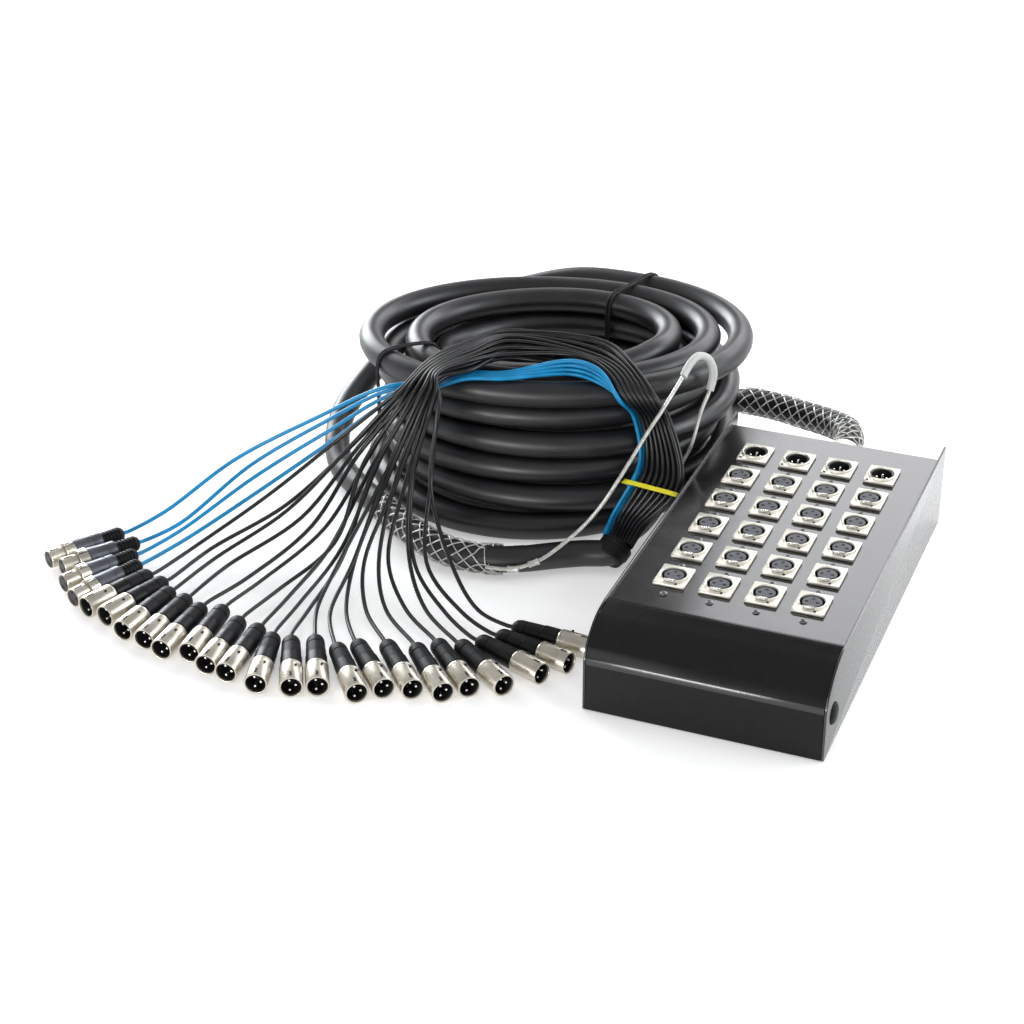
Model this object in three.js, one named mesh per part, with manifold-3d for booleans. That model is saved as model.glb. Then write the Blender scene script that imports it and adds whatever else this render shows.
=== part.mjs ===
// Stage box snake: a steel box with twenty-four panel connectors, a coiled trunk cable with a wire mesh
// grip at each end, and a fan-out of twenty-four tails with a cable plug on each.
// Millimetres, +Z up. The origin is the middle of the box's underside, and the box's rear faces +Y.
import * as THREE from 'three';
import { mergeVertices } from 'three/addons/utils/BufferGeometryUtils.js';
import Module from 'manifold-3d';

const wasm = await Module();
wasm.setup();

// General
const clearance = 0.3;
const overrun = 5;
const roundSides = 8;
const nutSides = 12;
const arcSteps = 5;
const arcDivisions = 1000;

// Stage box
const boxWidth = 190;
const boxLength = 396;
const boxHeight = 74;
const sheet = 2;
const rearInset = 23;
const noseRadius = 52;
const noseCut = 7;
const lipDepth = 4;
const panelDrop = 2;
const ledgeWidth = 8;
const bumperRadius = 9;
const bumperHeight = 3.5;
const bumperFromFront = 20;
const bumperLevel = 32;

// Panel connectors
const columnPitch = 37;
const rowPitch = 45;
const columns = 4;
const rows = 6;
const lastRowInset = 50;
const flangeWidth = 26;
const flangeDepth = 31;
const flangeHeight = 2.4;
const barrelRadius = 11.8;
const barrelDepth = 21;
const ringHeight = 1.8;
const grooveRadius = 9.9;
const grooveDepth = 10;
const insertRadius = 7.7;
const insertDrop = 0.6;
const cupRadius = 8.7;
const cupDepth = 14;
const groundPlate = 1.6;

// Push latch of a female panel connector
const latchWidth = 8;
const latchOuter = 10.8;
const latchInner = 7.6;
const latchRise = 0.9;
const latchLength = 9;
const latchTravel = 1.5;
const latchLip = 1;

// Cable plugs
const plugRadius = 9.5;
const malePlugLength = 70;
const shellLength = 27;
const plugCupRadius = 7.9;
const plugCupDepth = 16;
const waistRadius = 8.6;
const waistLength = 16;
const bootRadius = 7.6;
const bootEndRadius = 4.4;
const bootRound = 4;
const femalePlugLength = 72;
const noseTubeRadius = 8;
const noseTubeLength = 13;
const noseGap = 1.4;
const noseGapRadius = 7.2;
const noseRecess = 0.8;
const noseRim = 1;
const keeperLength = 9;
const gripLength = 26;
const ribbedBootRadius = 6.8;

// Thumb lever of a female cable plug
const leverWidth = 6;
const leverLength = 8;
const leverThickness = 2.4;
const leverRise = 1.2;
const leverTravel = 1;

// Trunk cable and its coil
const trunkDiameter = 23;
const trunkSides = 8;
const coilCentreX = -262;
const coilCentreY = 180;
const coilTurnDegrees = 21;
const coilLongRadius = 161;
const coilShortRadius = 129;
const coilLongPitch = 26;
const coilShortPitch = 24.3;
const coilLayerPitch = 23.7;
const coilStartDegrees = 60;
const coilLayers = 6;
const turnsPerLayer = 2.5;
const climbShare = 0.5;
const firstStepShares = [[0.45, 0.78], [0.45, 0.78]];
const lastStepShares = [[0.65, 0.97], [0.5, 0.9]];
const lastSlackShare = 0.1;
const slackStartShare = 0.2;
const frontSpreadShare = 0.2;
const lastRingWider = 8;
const widerShares = [0.9, 1.4];
const loopSteps = 16;
const loopSides = 6;

// Cord grips and the pulling loop
const glandX = 6;
const glandDrop = 24;
const glandRadius = 17;
const glandLength = 25;
const glandNeckRadius = 15;
const glandNutLength = 11;
const glandBore = 12.6;
const threadRadius = 14;
const threadLength = 10;
const lockNutLength = 6;
const tailInBox = 25;
const sleeveGap = 1.2;
const sleeveWall = 1.2;
const sleeveSides = 10;
const ropeRadius = 1.5;
const ropeSides = 5;
const ropeSteps = 30;
const crimpRadius = 3;
const crimpShare = 0.016;
const crimpShares = [0.03, 0.06];
const thimbleRadius = 3.6;
const thimbleShares = [0.36, 0.46];
const thimbleSteps = 6;
const besideShares = [0.85, 0.875, 0.9];
const spreadShares = [1, 1.12, 1.2];

// Tails
const tailDiameter = 3.6;
const tailSides = 4;
const bundleColumns = 7;
const bundleLayers = 3;
const bundlePitch = 4.1;
const bluePitch = 6.4;
const straightLength = 7;
const looseStations = [7, 9];
const loosePoints = [1, 2];
const looseAcross = 9;
const looseOutward = 3;
const looseSideways = 4;
const strayPaces = [2.4, 1.7, 1.9];
const blackRootSize = [22.4, 12, 3];
const blueRootSize = [3.6, 16, 3];

// Fan-out boot and the tie on the tails
const bootMouthRadius = 14.5;
const fanBootLength = 16;
const fanBootMouth = [-144, 20, 20];
const fanBootAhead = [0.25, 0.86, 0.45];
const tieStation = 2;
const tieMiddle = [-126.6, 58.8, 58];
const tieWidth = 56;
const tieDepth = 20;
const tieHeight = 4;
const tieWall = 1.2;

// Colours
const steelBlack = 0x17181a;
const cableBlack = 0x1d1e20;
const tailBlue = 0x128cc8;
const tieYellow = 0xf2e522;
const nickel = 0xd8d5cc;
const bodyGrey = 0x4a4d55;
const ropeGrey = 0xb5b5ad;
const insertGrey = 0x5c5e63;

// Levels and places that follow from the sizes above
const frontY = -boxLength / 2;
const wallY = boxLength / 2 - rearInset;
const noseDepth = noseRadius - noseCut;
const noseY = frontY + noseDepth;
const noseLevel = boxHeight - noseRadius;
const lipY = noseY + lipDepth;
const panelTop = boxHeight - panelDrop;
const panelUnder = panelTop - sheet;
const seatLevel = panelUnder - clearance;
const innerHalf = boxWidth / 2 - sheet;
const rowsMiddleY = wallY - lastRowInset - ((rows - 1) / 2) * rowPitch;
const glandLevel = boxHeight - glandDrop;
const trunkRadius = trunkDiameter / 2;
const tailRadius = tailDiameter / 2;
const sleeveBore = trunkRadius + sleeveGap;
const sleeveRadius = sleeveBore + sleeveWall;

const axisX = new THREE.Vector3(1, 0, 0);
const axisY = new THREE.Vector3(0, 1, 0);
const axisZ = new THREE.Vector3(0, 0, 1);

// Solids and meshes
function solidOf(geometry) {
  geometry.deleteAttribute('normal');
  geometry.deleteAttribute('uv');
  const merged = mergeVertices(geometry);
  const corners = merged.index.array;
  const kept = [];
  for (let i = 0; i < corners.length; i += 3) {
    const [a, b, c] = [corners[i], corners[i + 1], corners[i + 2]];
    if (a !== b && b !== c && c !== a) kept.push(a, b, c);
  }
  const mesh = new wasm.Mesh({
    numProp: 3,
    vertProperties: new Float32Array(merged.attributes.position.array),
    triVerts: new Uint32Array(kept),
  });
  return new wasm.Manifold(mesh);
}

function joined(solids) {
  return solids.reduce((whole, piece) => whole.add(piece));
}

function meshOf(name, solid, color, roughness, metalness) {
  const found = solid.getMesh();
  const geometry = new THREE.BufferGeometry();
  geometry.setAttribute('position', new THREE.BufferAttribute(found.vertProperties, 3));
  geometry.setIndex(new THREE.BufferAttribute(found.triVerts, 1));
  geometry.computeVertexNormals();
  const mesh = new THREE.Mesh(geometry, new THREE.MeshStandardMaterial({ color, roughness, metalness }));
  mesh.name = name;
  return mesh;
}

function block(low, high) {
  const size = high.map((value, i) => value - low[i]);
  const middle = high.map((value, i) => (value + low[i]) / 2);
  const geometry = new THREE.BoxGeometry(...size);
  geometry.translate(...middle);
  return solidOf(geometry);
}

// A turned piece along +Z from a profile of [radius, level] points that runs up the outside
function turned(profile, sides) {
  const points = profile.map(([radius, level]) => new THREE.Vector2(radius, level));
  const geometry = new THREE.LatheGeometry(points, sides);
  geometry.rotateX(Math.PI / 2);
  return solidOf(geometry);
}

function rod(radius, low, high, sides) {
  return turned([[0, low], [radius, low], [radius, high], [0, high]], sides);
}

// The corner radius of a many-sided bore whose flats clear a round piece
function roundBore(radius, sides) {
  return (radius + clearance) / Math.cos(Math.PI / sides);
}

// An outline in Y and Z, carried along X from low to high
function extrudedAlongX(shape, low, high) {
  const geometry = new THREE.ExtrudeGeometry(shape, {
    depth: high - low,
    bevelEnabled: false,
    curveSegments: arcSteps,
  });
  geometry.applyMatrix4(new THREE.Matrix4().makeBasis(axisY, axisZ, axisX));
  geometry.translate(low, 0, 0);
  return solidOf(geometry);
}

// Curves and tubes
function smooth(points) {
  const curve = new THREE.CatmullRomCurve3(points.map((p) => new THREE.Vector3(...p)), false, 'centripetal');
  curve.arcLengthDivisions = arcDivisions;
  return curve;
}

function ringShape(radius, sides, bore) {
  const corner = (r, i) => [r * Math.cos((2 * Math.PI * i) / sides), r * Math.sin((2 * Math.PI * i) / sides)];
  const loop = (r) => Array.from({ length: sides }, (_, i) => new THREE.Vector2(...corner(r, i)));
  const shape = new THREE.Shape(loop(radius));
  if (bore) shape.holes.push(new THREE.Path(loop(bore)));
  return shape;
}

function tube(curve, radius, sides, steps, bore) {
  const shape = ringShape(radius, sides, bore);
  return solidOf(new THREE.ExtrudeGeometry(shape, { steps, bevelEnabled: false, extrudePath: curve }));
}

class Stretch extends THREE.Curve {
  constructor(whole, from, to) {
    super();
    this.arcLengthDivisions = arcDivisions;
    this.whole = whole;
    this.from = from;
    this.to = to;
  }

  getPoint(share, target = new THREE.Vector3()) {
    return target.copy(this.whole.getPointAt(this.from + (this.to - this.from) * share));
  }
}

// A smooth curve whose equal steps are its own points, so that neighbouring cords bend at the same places
class ByPoints extends THREE.Curve {
  constructor(points) {
    super();
    this.whole = smooth(points);
    this.spans = points.length - 1;
  }

  getPoint(share, target = new THREE.Vector3()) {
    return target.copy(this.whole.getPoint(share));
  }

  getPointAt(share, target) {
    return this.getPoint(share, target);
  }

  getTangentAt(share, target) {
    return this.getTangent(share, target);
  }
}

// Chassis: one bent sheet for the underside, front and nose, two cheeks, a rear wall and the panel's ledges
function noseStart(inset) {
  const reach = noseDepth - inset;
  return noseLevel + Math.sqrt((noseRadius - inset) ** 2 - reach ** 2);
}

function noseAngle(inset) {
  return Math.atan2(noseStart(inset) - noseLevel, -(noseDepth - inset));
}

function wrapOutline() {
  const shape = new THREE.Shape();
  shape.moveTo(wallY, seatLevel);
  shape.lineTo(wallY, 0);
  shape.lineTo(frontY, 0);
  shape.absarc(noseY, noseLevel, noseRadius, noseAngle(0), Math.PI / 2, true);
  shape.lineTo(lipY, boxHeight);
  shape.lineTo(lipY, boxHeight - sheet);
  shape.absarc(noseY, noseLevel, noseRadius - sheet, Math.PI / 2, noseAngle(sheet), false);
  shape.lineTo(frontY + sheet, sheet);
  shape.lineTo(wallY - sheet, sheet);
  shape.lineTo(wallY - sheet, seatLevel);
  return shape;
}

function cheekOutline() {
  const shape = new THREE.Shape();
  shape.moveTo(frontY + boxLength, 0);
  shape.lineTo(frontY, 0);
  shape.absarc(noseY, noseLevel, noseRadius, noseAngle(0), Math.PI / 2, true);
  shape.lineTo(frontY + boxLength, boxHeight);
  return shape;
}

function bumper(side) {
  const disc = rod(bumperRadius, -sheet / 2, bumperHeight, roundSides);
  const turn = [0, side * 90, 0];
  return disc.rotate(turn).translate([(side * boxWidth) / 2, frontY + bumperFromFront, bumperLevel]);
}

function chassis() {
  const half = boxWidth / 2;
  const pieces = [extrudedAlongX(wrapOutline(), -half, half)];
  for (const side of [-1, 1]) {
    const inner = Math.min(side * half, side * innerHalf);
    pieces.push(extrudedAlongX(cheekOutline(), inner, inner + sheet));
    const ledgeEdge = side * (innerHalf - ledgeWidth);
    const [low, high] = [ledgeEdge, side * half].sort((a, b) => a - b);
    pieces.push(block([low, lipY, seatLevel - sheet], [high, wallY, seatLevel]));
    pieces.push(bumper(side));
  }
  const hole = rod(roundBore(threadRadius, nutSides), -overrun, overrun + sheet, nutSides);
  return joined(pieces).subtract(hole.rotate([90, 0, 0]).translate([glandX, wallY, glandLevel]));
}

// Connector panel
function places() {
  const found = [];
  for (let row = 0; row < rows; row += 1) {
    for (let column = 0; column < columns; column += 1) {
      const x = (column - (columns - 1) / 2) * columnPitch;
      const y = rowsMiddleY + (row - (rows - 1) / 2) * rowPitch;
      found.push({ row, column, x, y });
    }
  }
  return found;
}

const flatSide = 180 / roundSides;
const isReturn = (place) => place.row === rows - 1;

function connectorPanel() {
  const half = innerHalf - clearance;
  const plate = block([-half, lipY + clearance, panelUnder], [half, wallY, panelTop]);
  const hole = rod(barrelRadius + clearance, panelUnder - overrun, panelTop + overrun, roundSides);
  const holes = places().map(({ x, y }) => hole.rotate([0, 0, flatSide]).translate([x, y, 0]));
  return plate.subtract(joined(holes));
}

// Panel connectors, drawn about their own axis with the panel's top face at level 0
function flange() {
  const plate = block(
    [-flangeWidth / 2, -flangeDepth / 2, clearance],
    [flangeWidth / 2, flangeDepth / 2, clearance + flangeHeight],
  );
  const middle = (barrelRadius + grooveRadius) / 2;
  return plate.subtract(rod(middle, -overrun, flangeHeight + overrun, roundSides).rotate([0, 0, flatSide]));
}

const ringTop = clearance + flangeHeight + ringHeight;

function femaleSocket() {
  const barrel = turned([
    [0, -barrelDepth],
    [barrelRadius, -barrelDepth],
    [barrelRadius, ringTop],
    [grooveRadius, ringTop],
    [grooveRadius, ringTop - grooveDepth],
    [insertRadius, ringTop - grooveDepth],
    [insertRadius, ringTop - insertDrop],
    [0, ringTop - insertDrop],
  ], roundSides);
  const slot = block(
    [-latchWidth / 2 - clearance, -latchOuter - clearance, ringTop + latchRise - latchLength - latchTravel - sheet],
    [latchWidth / 2 + clearance, -latchInner + clearance, ringTop + overrun],
  );
  return flange().add(barrel.rotate([0, 0, flatSide])).subtract(slot);
}

function maleSocket() {
  const barrel = turned([
    [0, -barrelDepth],
    [barrelRadius, -barrelDepth],
    [barrelRadius, ringTop],
    [cupRadius, ringTop],
    [cupRadius, -cupDepth],
    [0, -cupDepth],
  ], roundSides);
  return flange().add(barrel.rotate([0, 0, flatSide]));
}

// The connectors of a group stand on one ground plate that joins their rear ends
function socketGroup(make, chosen) {
  const pieces = chosen.map(({ x, y }) => make().translate([x, y, 0]));
  const xs = chosen.map((place) => place.x);
  const ys = chosen.map((place) => place.y);
  pieces.push(block(
    [Math.min(...xs) - barrelRadius, Math.min(...ys) - barrelRadius, -barrelDepth - groundPlate],
    [Math.max(...xs) + barrelRadius, Math.max(...ys) + barrelRadius, -barrelDepth + clearance],
  ));
  return joined(pieces).translate([0, 0, panelTop]);
}

// A latch tab whose raised front edge leans outwards, at its connector's front
function latchTab() {
  const top = ringTop + latchRise;
  const shape = new THREE.Shape();
  shape.moveTo(-latchOuter, top - latchLength);
  shape.lineTo(-latchInner, top - latchLength);
  shape.lineTo(-latchInner, top - latchLip);
  shape.lineTo(-latchOuter, top);
  return extrudedAlongX(shape, -latchWidth / 2, latchWidth / 2);
}

// Cable plugs, drawn along +Z from the end of the boot
function malePlug() {
  const shellStart = malePlugLength - shellLength;
  return turned([
    [0, 0],
    [bootEndRadius, 0],
    [bootRadius, bootRound],
    [waistRadius, shellStart - waistLength],
    [waistRadius, shellStart - clearance],
    [plugRadius, shellStart],
    [plugRadius, malePlugLength],
    [plugCupRadius, malePlugLength],
    [plugCupRadius, malePlugLength - plugCupDepth],
    [0, malePlugLength - plugCupDepth],
  ], roundSides);
}

const keeperEnd = femalePlugLength - noseTubeLength - noseGap;
const keeperStart = keeperEnd - keeperLength;

function femalePlug() {
  const body = turned([
    [0, 0],
    [bootEndRadius, 0],
    [ribbedBootRadius, bootRound],
    [ribbedBootRadius, keeperStart - gripLength],
    [waistRadius, keeperStart - gripLength],
    [plugRadius, keeperStart],
    [plugRadius, keeperEnd],
    [noseGapRadius, keeperEnd],
    [noseGapRadius, keeperEnd + noseGap],
    [noseTubeRadius, keeperEnd + noseGap],
    [noseTubeRadius, femalePlugLength],
    [noseTubeRadius - noseRim, femalePlugLength],
    [noseTubeRadius - noseRim, femalePlugLength - noseRecess],
    [0, femalePlugLength - noseRecess],
  ], roundSides);
  const reach = leverWidth / 2 + clearance;
  const floor = plugRadius + leverRise - leverThickness - leverTravel - clearance;
  const middle = (keeperStart + keeperEnd) / 2;
  const slot = block(
    [-plugRadius - overrun, -reach, middle - leverLength / 2 - clearance],
    [-floor, reach, middle + leverLength / 2 + clearance],
  );
  return body.subtract(slot);
}

function plugLever() {
  const top = plugRadius + leverRise;
  const middle = (keeperStart + keeperEnd) / 2;
  return block(
    [-top, -leverWidth / 2, middle - leverLength / 2],
    [-top + leverThickness, leverWidth / 2, middle + leverLength / 2],
  );
}

// Trunk: its turns lie in flat spirals, in and out by turns, and climb a layer about each place where the
// spiral reverses. The outer rings of the first and the last layer keep their radius, then step to the next.
// The pile spreads to the front towards its foot, and the top layer's outer ring is a little wider.
const totalTurns = coilLayers * turnsPerLayer;
const coilTurn = THREE.MathUtils.degToRad(coilTurnDegrees);
const coilStart = THREE.MathUtils.degToRad(coilStartDegrees);
const { smoothstep } = THREE.MathUtils;

function steppedTurns(turnsIn, stepShares) {
  const whole = Math.floor(turnsIn);
  if (whole >= stepShares.length) return turnsIn;
  return whole + smoothstep(turnsIn - whole, ...stepShares[whole]);
}

function inwardTurns(layer, turnsIn) {
  if (layer === 0) return steppedTurns(turnsIn, firstStepShares);
  if (layer < coilLayers - 1) return turnsIn;
  const slack = smoothstep(turnsIn, 0, slackStartShare) * (1 - smoothstep(turnsIn, 2, turnsPerLayer));
  return steppedTurns(turnsIn, lastStepShares) + lastSlackShare * slack;
}

function coilPoint(turns) {
  const layer = Math.min(Math.floor(turns / turnsPerLayer), coilLayers - 1);
  const within = turns - layer * turnsPerLayer;
  const turnsIn = inwardTurns(layer, layer % 2 === 0 ? within : turnsPerLayer - within);
  const nearest = THREE.MathUtils.clamp(Math.round(turns / turnsPerLayer), 1, coilLayers - 1);
  const climb = THREE.MathUtils.clamp((turns - nearest * turnsPerLayer) / climbShare + 0.5, 0, 1);
  const level = nearest - 1 + climb;
  const angle = coilStart + 2 * Math.PI * turns;
  const wider = layer === coilLayers - 1 ? lastRingWider * (1 - smoothstep(turnsIn, ...widerShares)) : 0;
  const spread = Math.sin(angle) < 0 ? 1 + frontSpreadShare * (1 - level / (coilLayers - 1)) : 1;
  const along = (coilLongRadius + wider - coilLongPitch * turnsIn) * Math.cos(angle);
  const across = spread * (coilShortRadius - coilShortPitch * turnsIn) * Math.sin(angle);
  return new THREE.Vector3(
    coilCentreX + along * Math.cos(coilTurn) - across * Math.sin(coilTurn),
    coilCentreY + along * Math.sin(coilTurn) + across * Math.cos(coilTurn),
    trunkRadius + coilLayerPitch * level,
  );
}

function coilPath() {
  const count = totalTurns * loopSteps;
  const points = [];
  for (let i = 0; i <= count; i += 1) points.push(coilPoint((i / count) * totalTurns));
  const before = points[0].clone().sub(points[1]).setLength(trunkDiameter).add(points[0]);
  const last = points[count];
  const after = last.clone().sub(points[count - 1]).setLength(trunkDiameter).add(last);
  return [before, ...points, after];
}

function coilSolid(path) {
  const positions = [];
  const faces = [];
  path.forEach((point, i) => {
    const ahead = path[Math.min(i + 1, path.length - 1)].clone().sub(path[Math.max(i - 1, 0)]).normalize();
    const side = new THREE.Vector3().crossVectors(ahead, axisZ).normalize();
    const up = new THREE.Vector3().crossVectors(side, ahead);
    for (let k = 0; k < loopSides; k += 1) {
      const angle = (2 * Math.PI * k) / loopSides;
      const corner = point.clone();
      corner.addScaledVector(up, trunkRadius * Math.cos(angle));
      corner.addScaledVector(side, trunkRadius * Math.sin(angle));
      positions.push(corner.x, corner.y, corner.z);
    }
  });
  for (let i = 0; i < path.length - 1; i += 1) {
    for (let k = 0; k < loopSides; k += 1) {
      const next = (k + 1) % loopSides;
      const [a, b] = [i * loopSides + k, i * loopSides + next];
      const [c, d] = [a + loopSides, b + loopSides];
      faces.push(a, b, c, b, d, c);
    }
  }
  const end = (path.length - 1) * loopSides;
  for (let k = 1; k < loopSides - 1; k += 1) faces.push(0, k + 1, k, end, end + k, end + k + 1);
  const geometry = new THREE.BufferGeometry();
  geometry.setAttribute('position', new THREE.Float32BufferAttribute(positions, 3));
  geometry.setIndex(faces);
  return solidOf(geometry);
}

// Least distance between two parts of the coil that lie half a turn or more apart, less the diameter
function leastGap(path) {
  let least = Infinity;
  const line = new THREE.Line3();
  const closest = new THREE.Vector3();
  for (let i = 0; i < path.length; i += 1) {
    for (let k = i + loopSteps / 2; k < path.length - 1; k += 1) {
      line.set(path[k], path[k + 1]);
      line.closestPointToPoint(path[i], true, closest);
      least = Math.min(least, closest.distanceTo(path[i]) - trunkDiameter);
    }
  }
  return least;
}

const coil = coilPath();
console.log(`least gap between the coil's turns: ${leastGap(coil).toFixed(2)} mm`);

const beforeCoil = coil[0].clone().sub(coil[1]).normalize();

// Route of the lead: from inside the box, through the gland and on to the coil's start
const leadRoute = smooth([
  [glandX, wallY - tailInBox, glandLevel],
  [glandX, wallY, glandLevel],
  [glandX, 205, glandLevel],
  [3, 228, 49.5],
  [-6, 250, 47],
  [-24, 267, 43],
  [-50, 281, 39.5],
  [-82, 292.5, 38],
  [-115, 302, 34],
  [-135, 308.5, 26],
  [-153, 314, 18],
  [-172, 318, 12.8],
  coil[0].clone().addScaledVector(beforeCoil, trunkRadius).toArray(),
  coil[0].clone().addScaledVector(beforeCoil, clearance).toArray(),
]);
const leadSteps = 22;
const leadSleeveFrom = 3;
const leadSleeveTo = 13;

// Route of the trunk's end: from the coil's end, down its left side and round its front to the fan-out
const coilEnd = coil[coil.length - 1];
const coilEndAhead = coilEnd.clone().sub(coil[coil.length - 2]).normalize();
const bootMouth = new THREE.Vector3(...fanBootMouth);
const bootAhead = new THREE.Vector3(...fanBootAhead).normalize();
const endRoute = smooth([
  coilEnd.clone().addScaledVector(coilEndAhead, clearance).toArray(),
  coilEnd.clone().addScaledVector(coilEndAhead, trunkRadius).toArray(),
  [-290, 322, 124],
  [-335, 314, 113],
  [-378, 289, 99],
  [-420, 257, 76],
  [-449, 219, 60],
  [-458, 180, 47],
  [-459, 143, 36.5],
  [-450, 106, 25],
  [-430, 73, 15.5],
  [-400, 45, 14.2],
  [-364, 18, 14.2],
  [-335, -4, 14.2],
  [-302, -24, 14.2],
  [-272, -34, 14.2],
  [-242, -33, 14.2],
  [-216, -23.5, 14.2],
  [-189, -6, 14.2],
  [-170, 5, 14.2],
  bootMouth.clone().addScaledVector(bootAhead, -fanBootLength / 2).toArray(),
  bootMouth.clone().addScaledVector(bootAhead, -sheet).toArray(),
]);
const endSteps = 30;
const endSleeveFrom = 20;
const endSleeveTo = 26;

function sleeveOn(route, from, to, steps) {
  const stretch = new Stretch(route, from / steps, to / steps);
  return tube(stretch, sleeveRadius, sleeveSides, to - from, sleeveBore);
}

// Gland in the rear wall and the woven grip fixed to its nut
function rearCordGrip() {
  const inside = -sheet - 2 * clearance;
  const body = turned([
    [glandBore, -threadLength],
    [threadRadius, -threadLength],
    [threadRadius, inside - lockNutLength],
    [glandRadius, inside - lockNutLength],
    [glandRadius, inside],
    [threadRadius, inside],
    [threadRadius, 0],
    [glandRadius, 0],
    [glandRadius, glandNutLength],
    [glandNeckRadius, glandNutLength + sheet],
    [glandNeckRadius, glandLength],
    [glandBore, glandLength],
    [glandBore, -threadLength],
  ], nutSides);
  const placed = body.rotate([-90, 0, 0]).translate([glandX, wallY + clearance, glandLevel]);
  return placed.add(sleeveOn(leadRoute, leadSleeveFrom, leadSleeveTo, leadSteps));
}

// The trunk's last stretch and the flared boot at its end
function trunkEnd() {
  const boot = turned([
    [0, -fanBootLength],
    [trunkRadius, -fanBootLength],
    [bootMouthRadius, -fanBootLength / 2],
    [bootMouthRadius, 0],
    [0, 0],
  ], nutSides);
  const across = new THREE.Vector3().crossVectors(axisZ, bootAhead).normalize();
  const place = new THREE.Matrix4().makeBasis(across, bootAhead.clone().cross(across), bootAhead);
  place.setPosition(bootMouth);
  return tube(endRoute, trunkRadius, trunkSides, endSteps).add(boot.transform(place.elements));
}

// The pulling grip's loop: from the near side of its sleeve, over the thimble and back to the far side
const loopRoute = smooth([
  besideSleeve(0, -1),
  besideSleeve(1, -1),
  [-196, -30, 20.5],
  [-181, -15, 31],
  [-165, -2, 47.5],
  [-152.5, 5, 66],
  [-141, 12, 88],
  [-128.5, 50.5, 118],
  [-124, 59, 127],
  [-117, 100, 146],
  [-115, 116, 153],
  [-111, 127, 156],
  [-104, 133, 152],
  [-99, 132.5, 141],
  [-100, 128, 126],
  [-103, 116.5, 112],
  [-106, 100, 85],
  [-115.5, 104.5, 62],
  [-121, 98, 40],
  [-128, 84, 20],
  [-137, 66, 8],
  [-150, 45, 5],
  [-168, 30, 4.5],
  [-190, 17, 5],
  besideSleeve(2, 1),
  besideSleeve(1, 1),
  besideSleeve(0, 1),
]);

function besideSleeve(place, side) {
  const share = besideShares[place];
  const point = endRoute.getPointAt(share);
  const outward = new THREE.Vector3().crossVectors(axisZ, endRoute.getTangentAt(share)).normalize();
  const away = spreadShares[place] * (sleeveRadius + ropeRadius / 2);
  return point.addScaledVector(outward, side * away).toArray();
}

function frontPullingGrip() {
  const pieces = [
    sleeveOn(endRoute, endSleeveFrom, endSleeveTo, endSteps),
    tube(loopRoute, ropeRadius, ropeSides, ropeSteps),
  ];
  for (const place of crimpShares) {
    for (const from of [place, 1 - place - crimpShare]) {
      pieces.push(tube(new Stretch(loopRoute, from, from + crimpShare), crimpRadius, ropeSides, 1));
    }
  }
  const thimble = new Stretch(loopRoute, ...thimbleShares);
  pieces.push(tube(thimble, thimbleRadius, ropeSides, thimbleSteps));
  return joined(pieces);
}

// Bundle stations on the way from the fan-out boot to the far side of the coil: the near and the far edge of
// the black tails' middle layer. The blue tails run beside the near edge, until they lie in a row of their own
// and pass under the black ones.
const stations = [
  { near: [-149.7, 23.33, 20.81], far: [-131.26, 17.95, 20.81] },
  { near: [-150, 49, 29], far: [-127, 41, 30] },
  { near: [-138, 60.5, 58], far: [-105, 55.6, 58] },
  { near: [-136, 79, 74], far: [-103, 66.5, 74] },
  { near: [-146, 86.5, 113], far: [-121, 83, 113] },
  { near: [-155, 67, 135.8], far: [-130, 74, 135.8] },
  { near: [-176, 74, 150], far: [-158, 92, 150] },
  { near: [-205.6, 80, 152], far: [-196, 112, 152] },
  { near: [-265, 69, 152], far: [-279, 112, 152], blueRow: [[-259.5, 46, 144.5], [-263, 57.8, 144.5]] },
  { near: [-285, 36, 152.5], far: [-303, 80, 152.5], blueRow: [[-289, 37, 143.4], [-294.5, 48, 143.4]] },
  { near: [-305.7, 15.1, 151], far: [-323, 38, 151], blueRow: [[-308, 24, 139], [-314, 35, 139]] },
];

// Each tail with its column and layer in the bundle, its own points from where it leaves the bundle to its
// plug, and the place and heading of the end of its plug's boot
const blueTails = [
  {
    slot: 3,
    points: [[-352, 9, 137], [-414, 1, 101], [-486, -23, 57], [-530, -74, 22]],
    boot: [-557, -102],
    heading: -119,
  },
  {
    slot: 2,
    points: [[-351, 11, 133], [-410, 5, 95], [-473, -20, 52], [-510, -82, 19]],
    boot: [-536, -111],
    heading: -122,
  },
  {
    slot: 1,
    points: [[-349, 11, 129], [-404, 4, 89], [-464, -29, 47], [-505, -89, 17]],
    boot: [-527, -130],
    heading: -116,
  },
  {
    slot: 0,
    points: [[-347, 11, 125], [-398, 1, 83], [-453, -36, 41], [-495, -97, 15]],
    boot: [-515, -144],
    heading: -109,
  },
];

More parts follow.
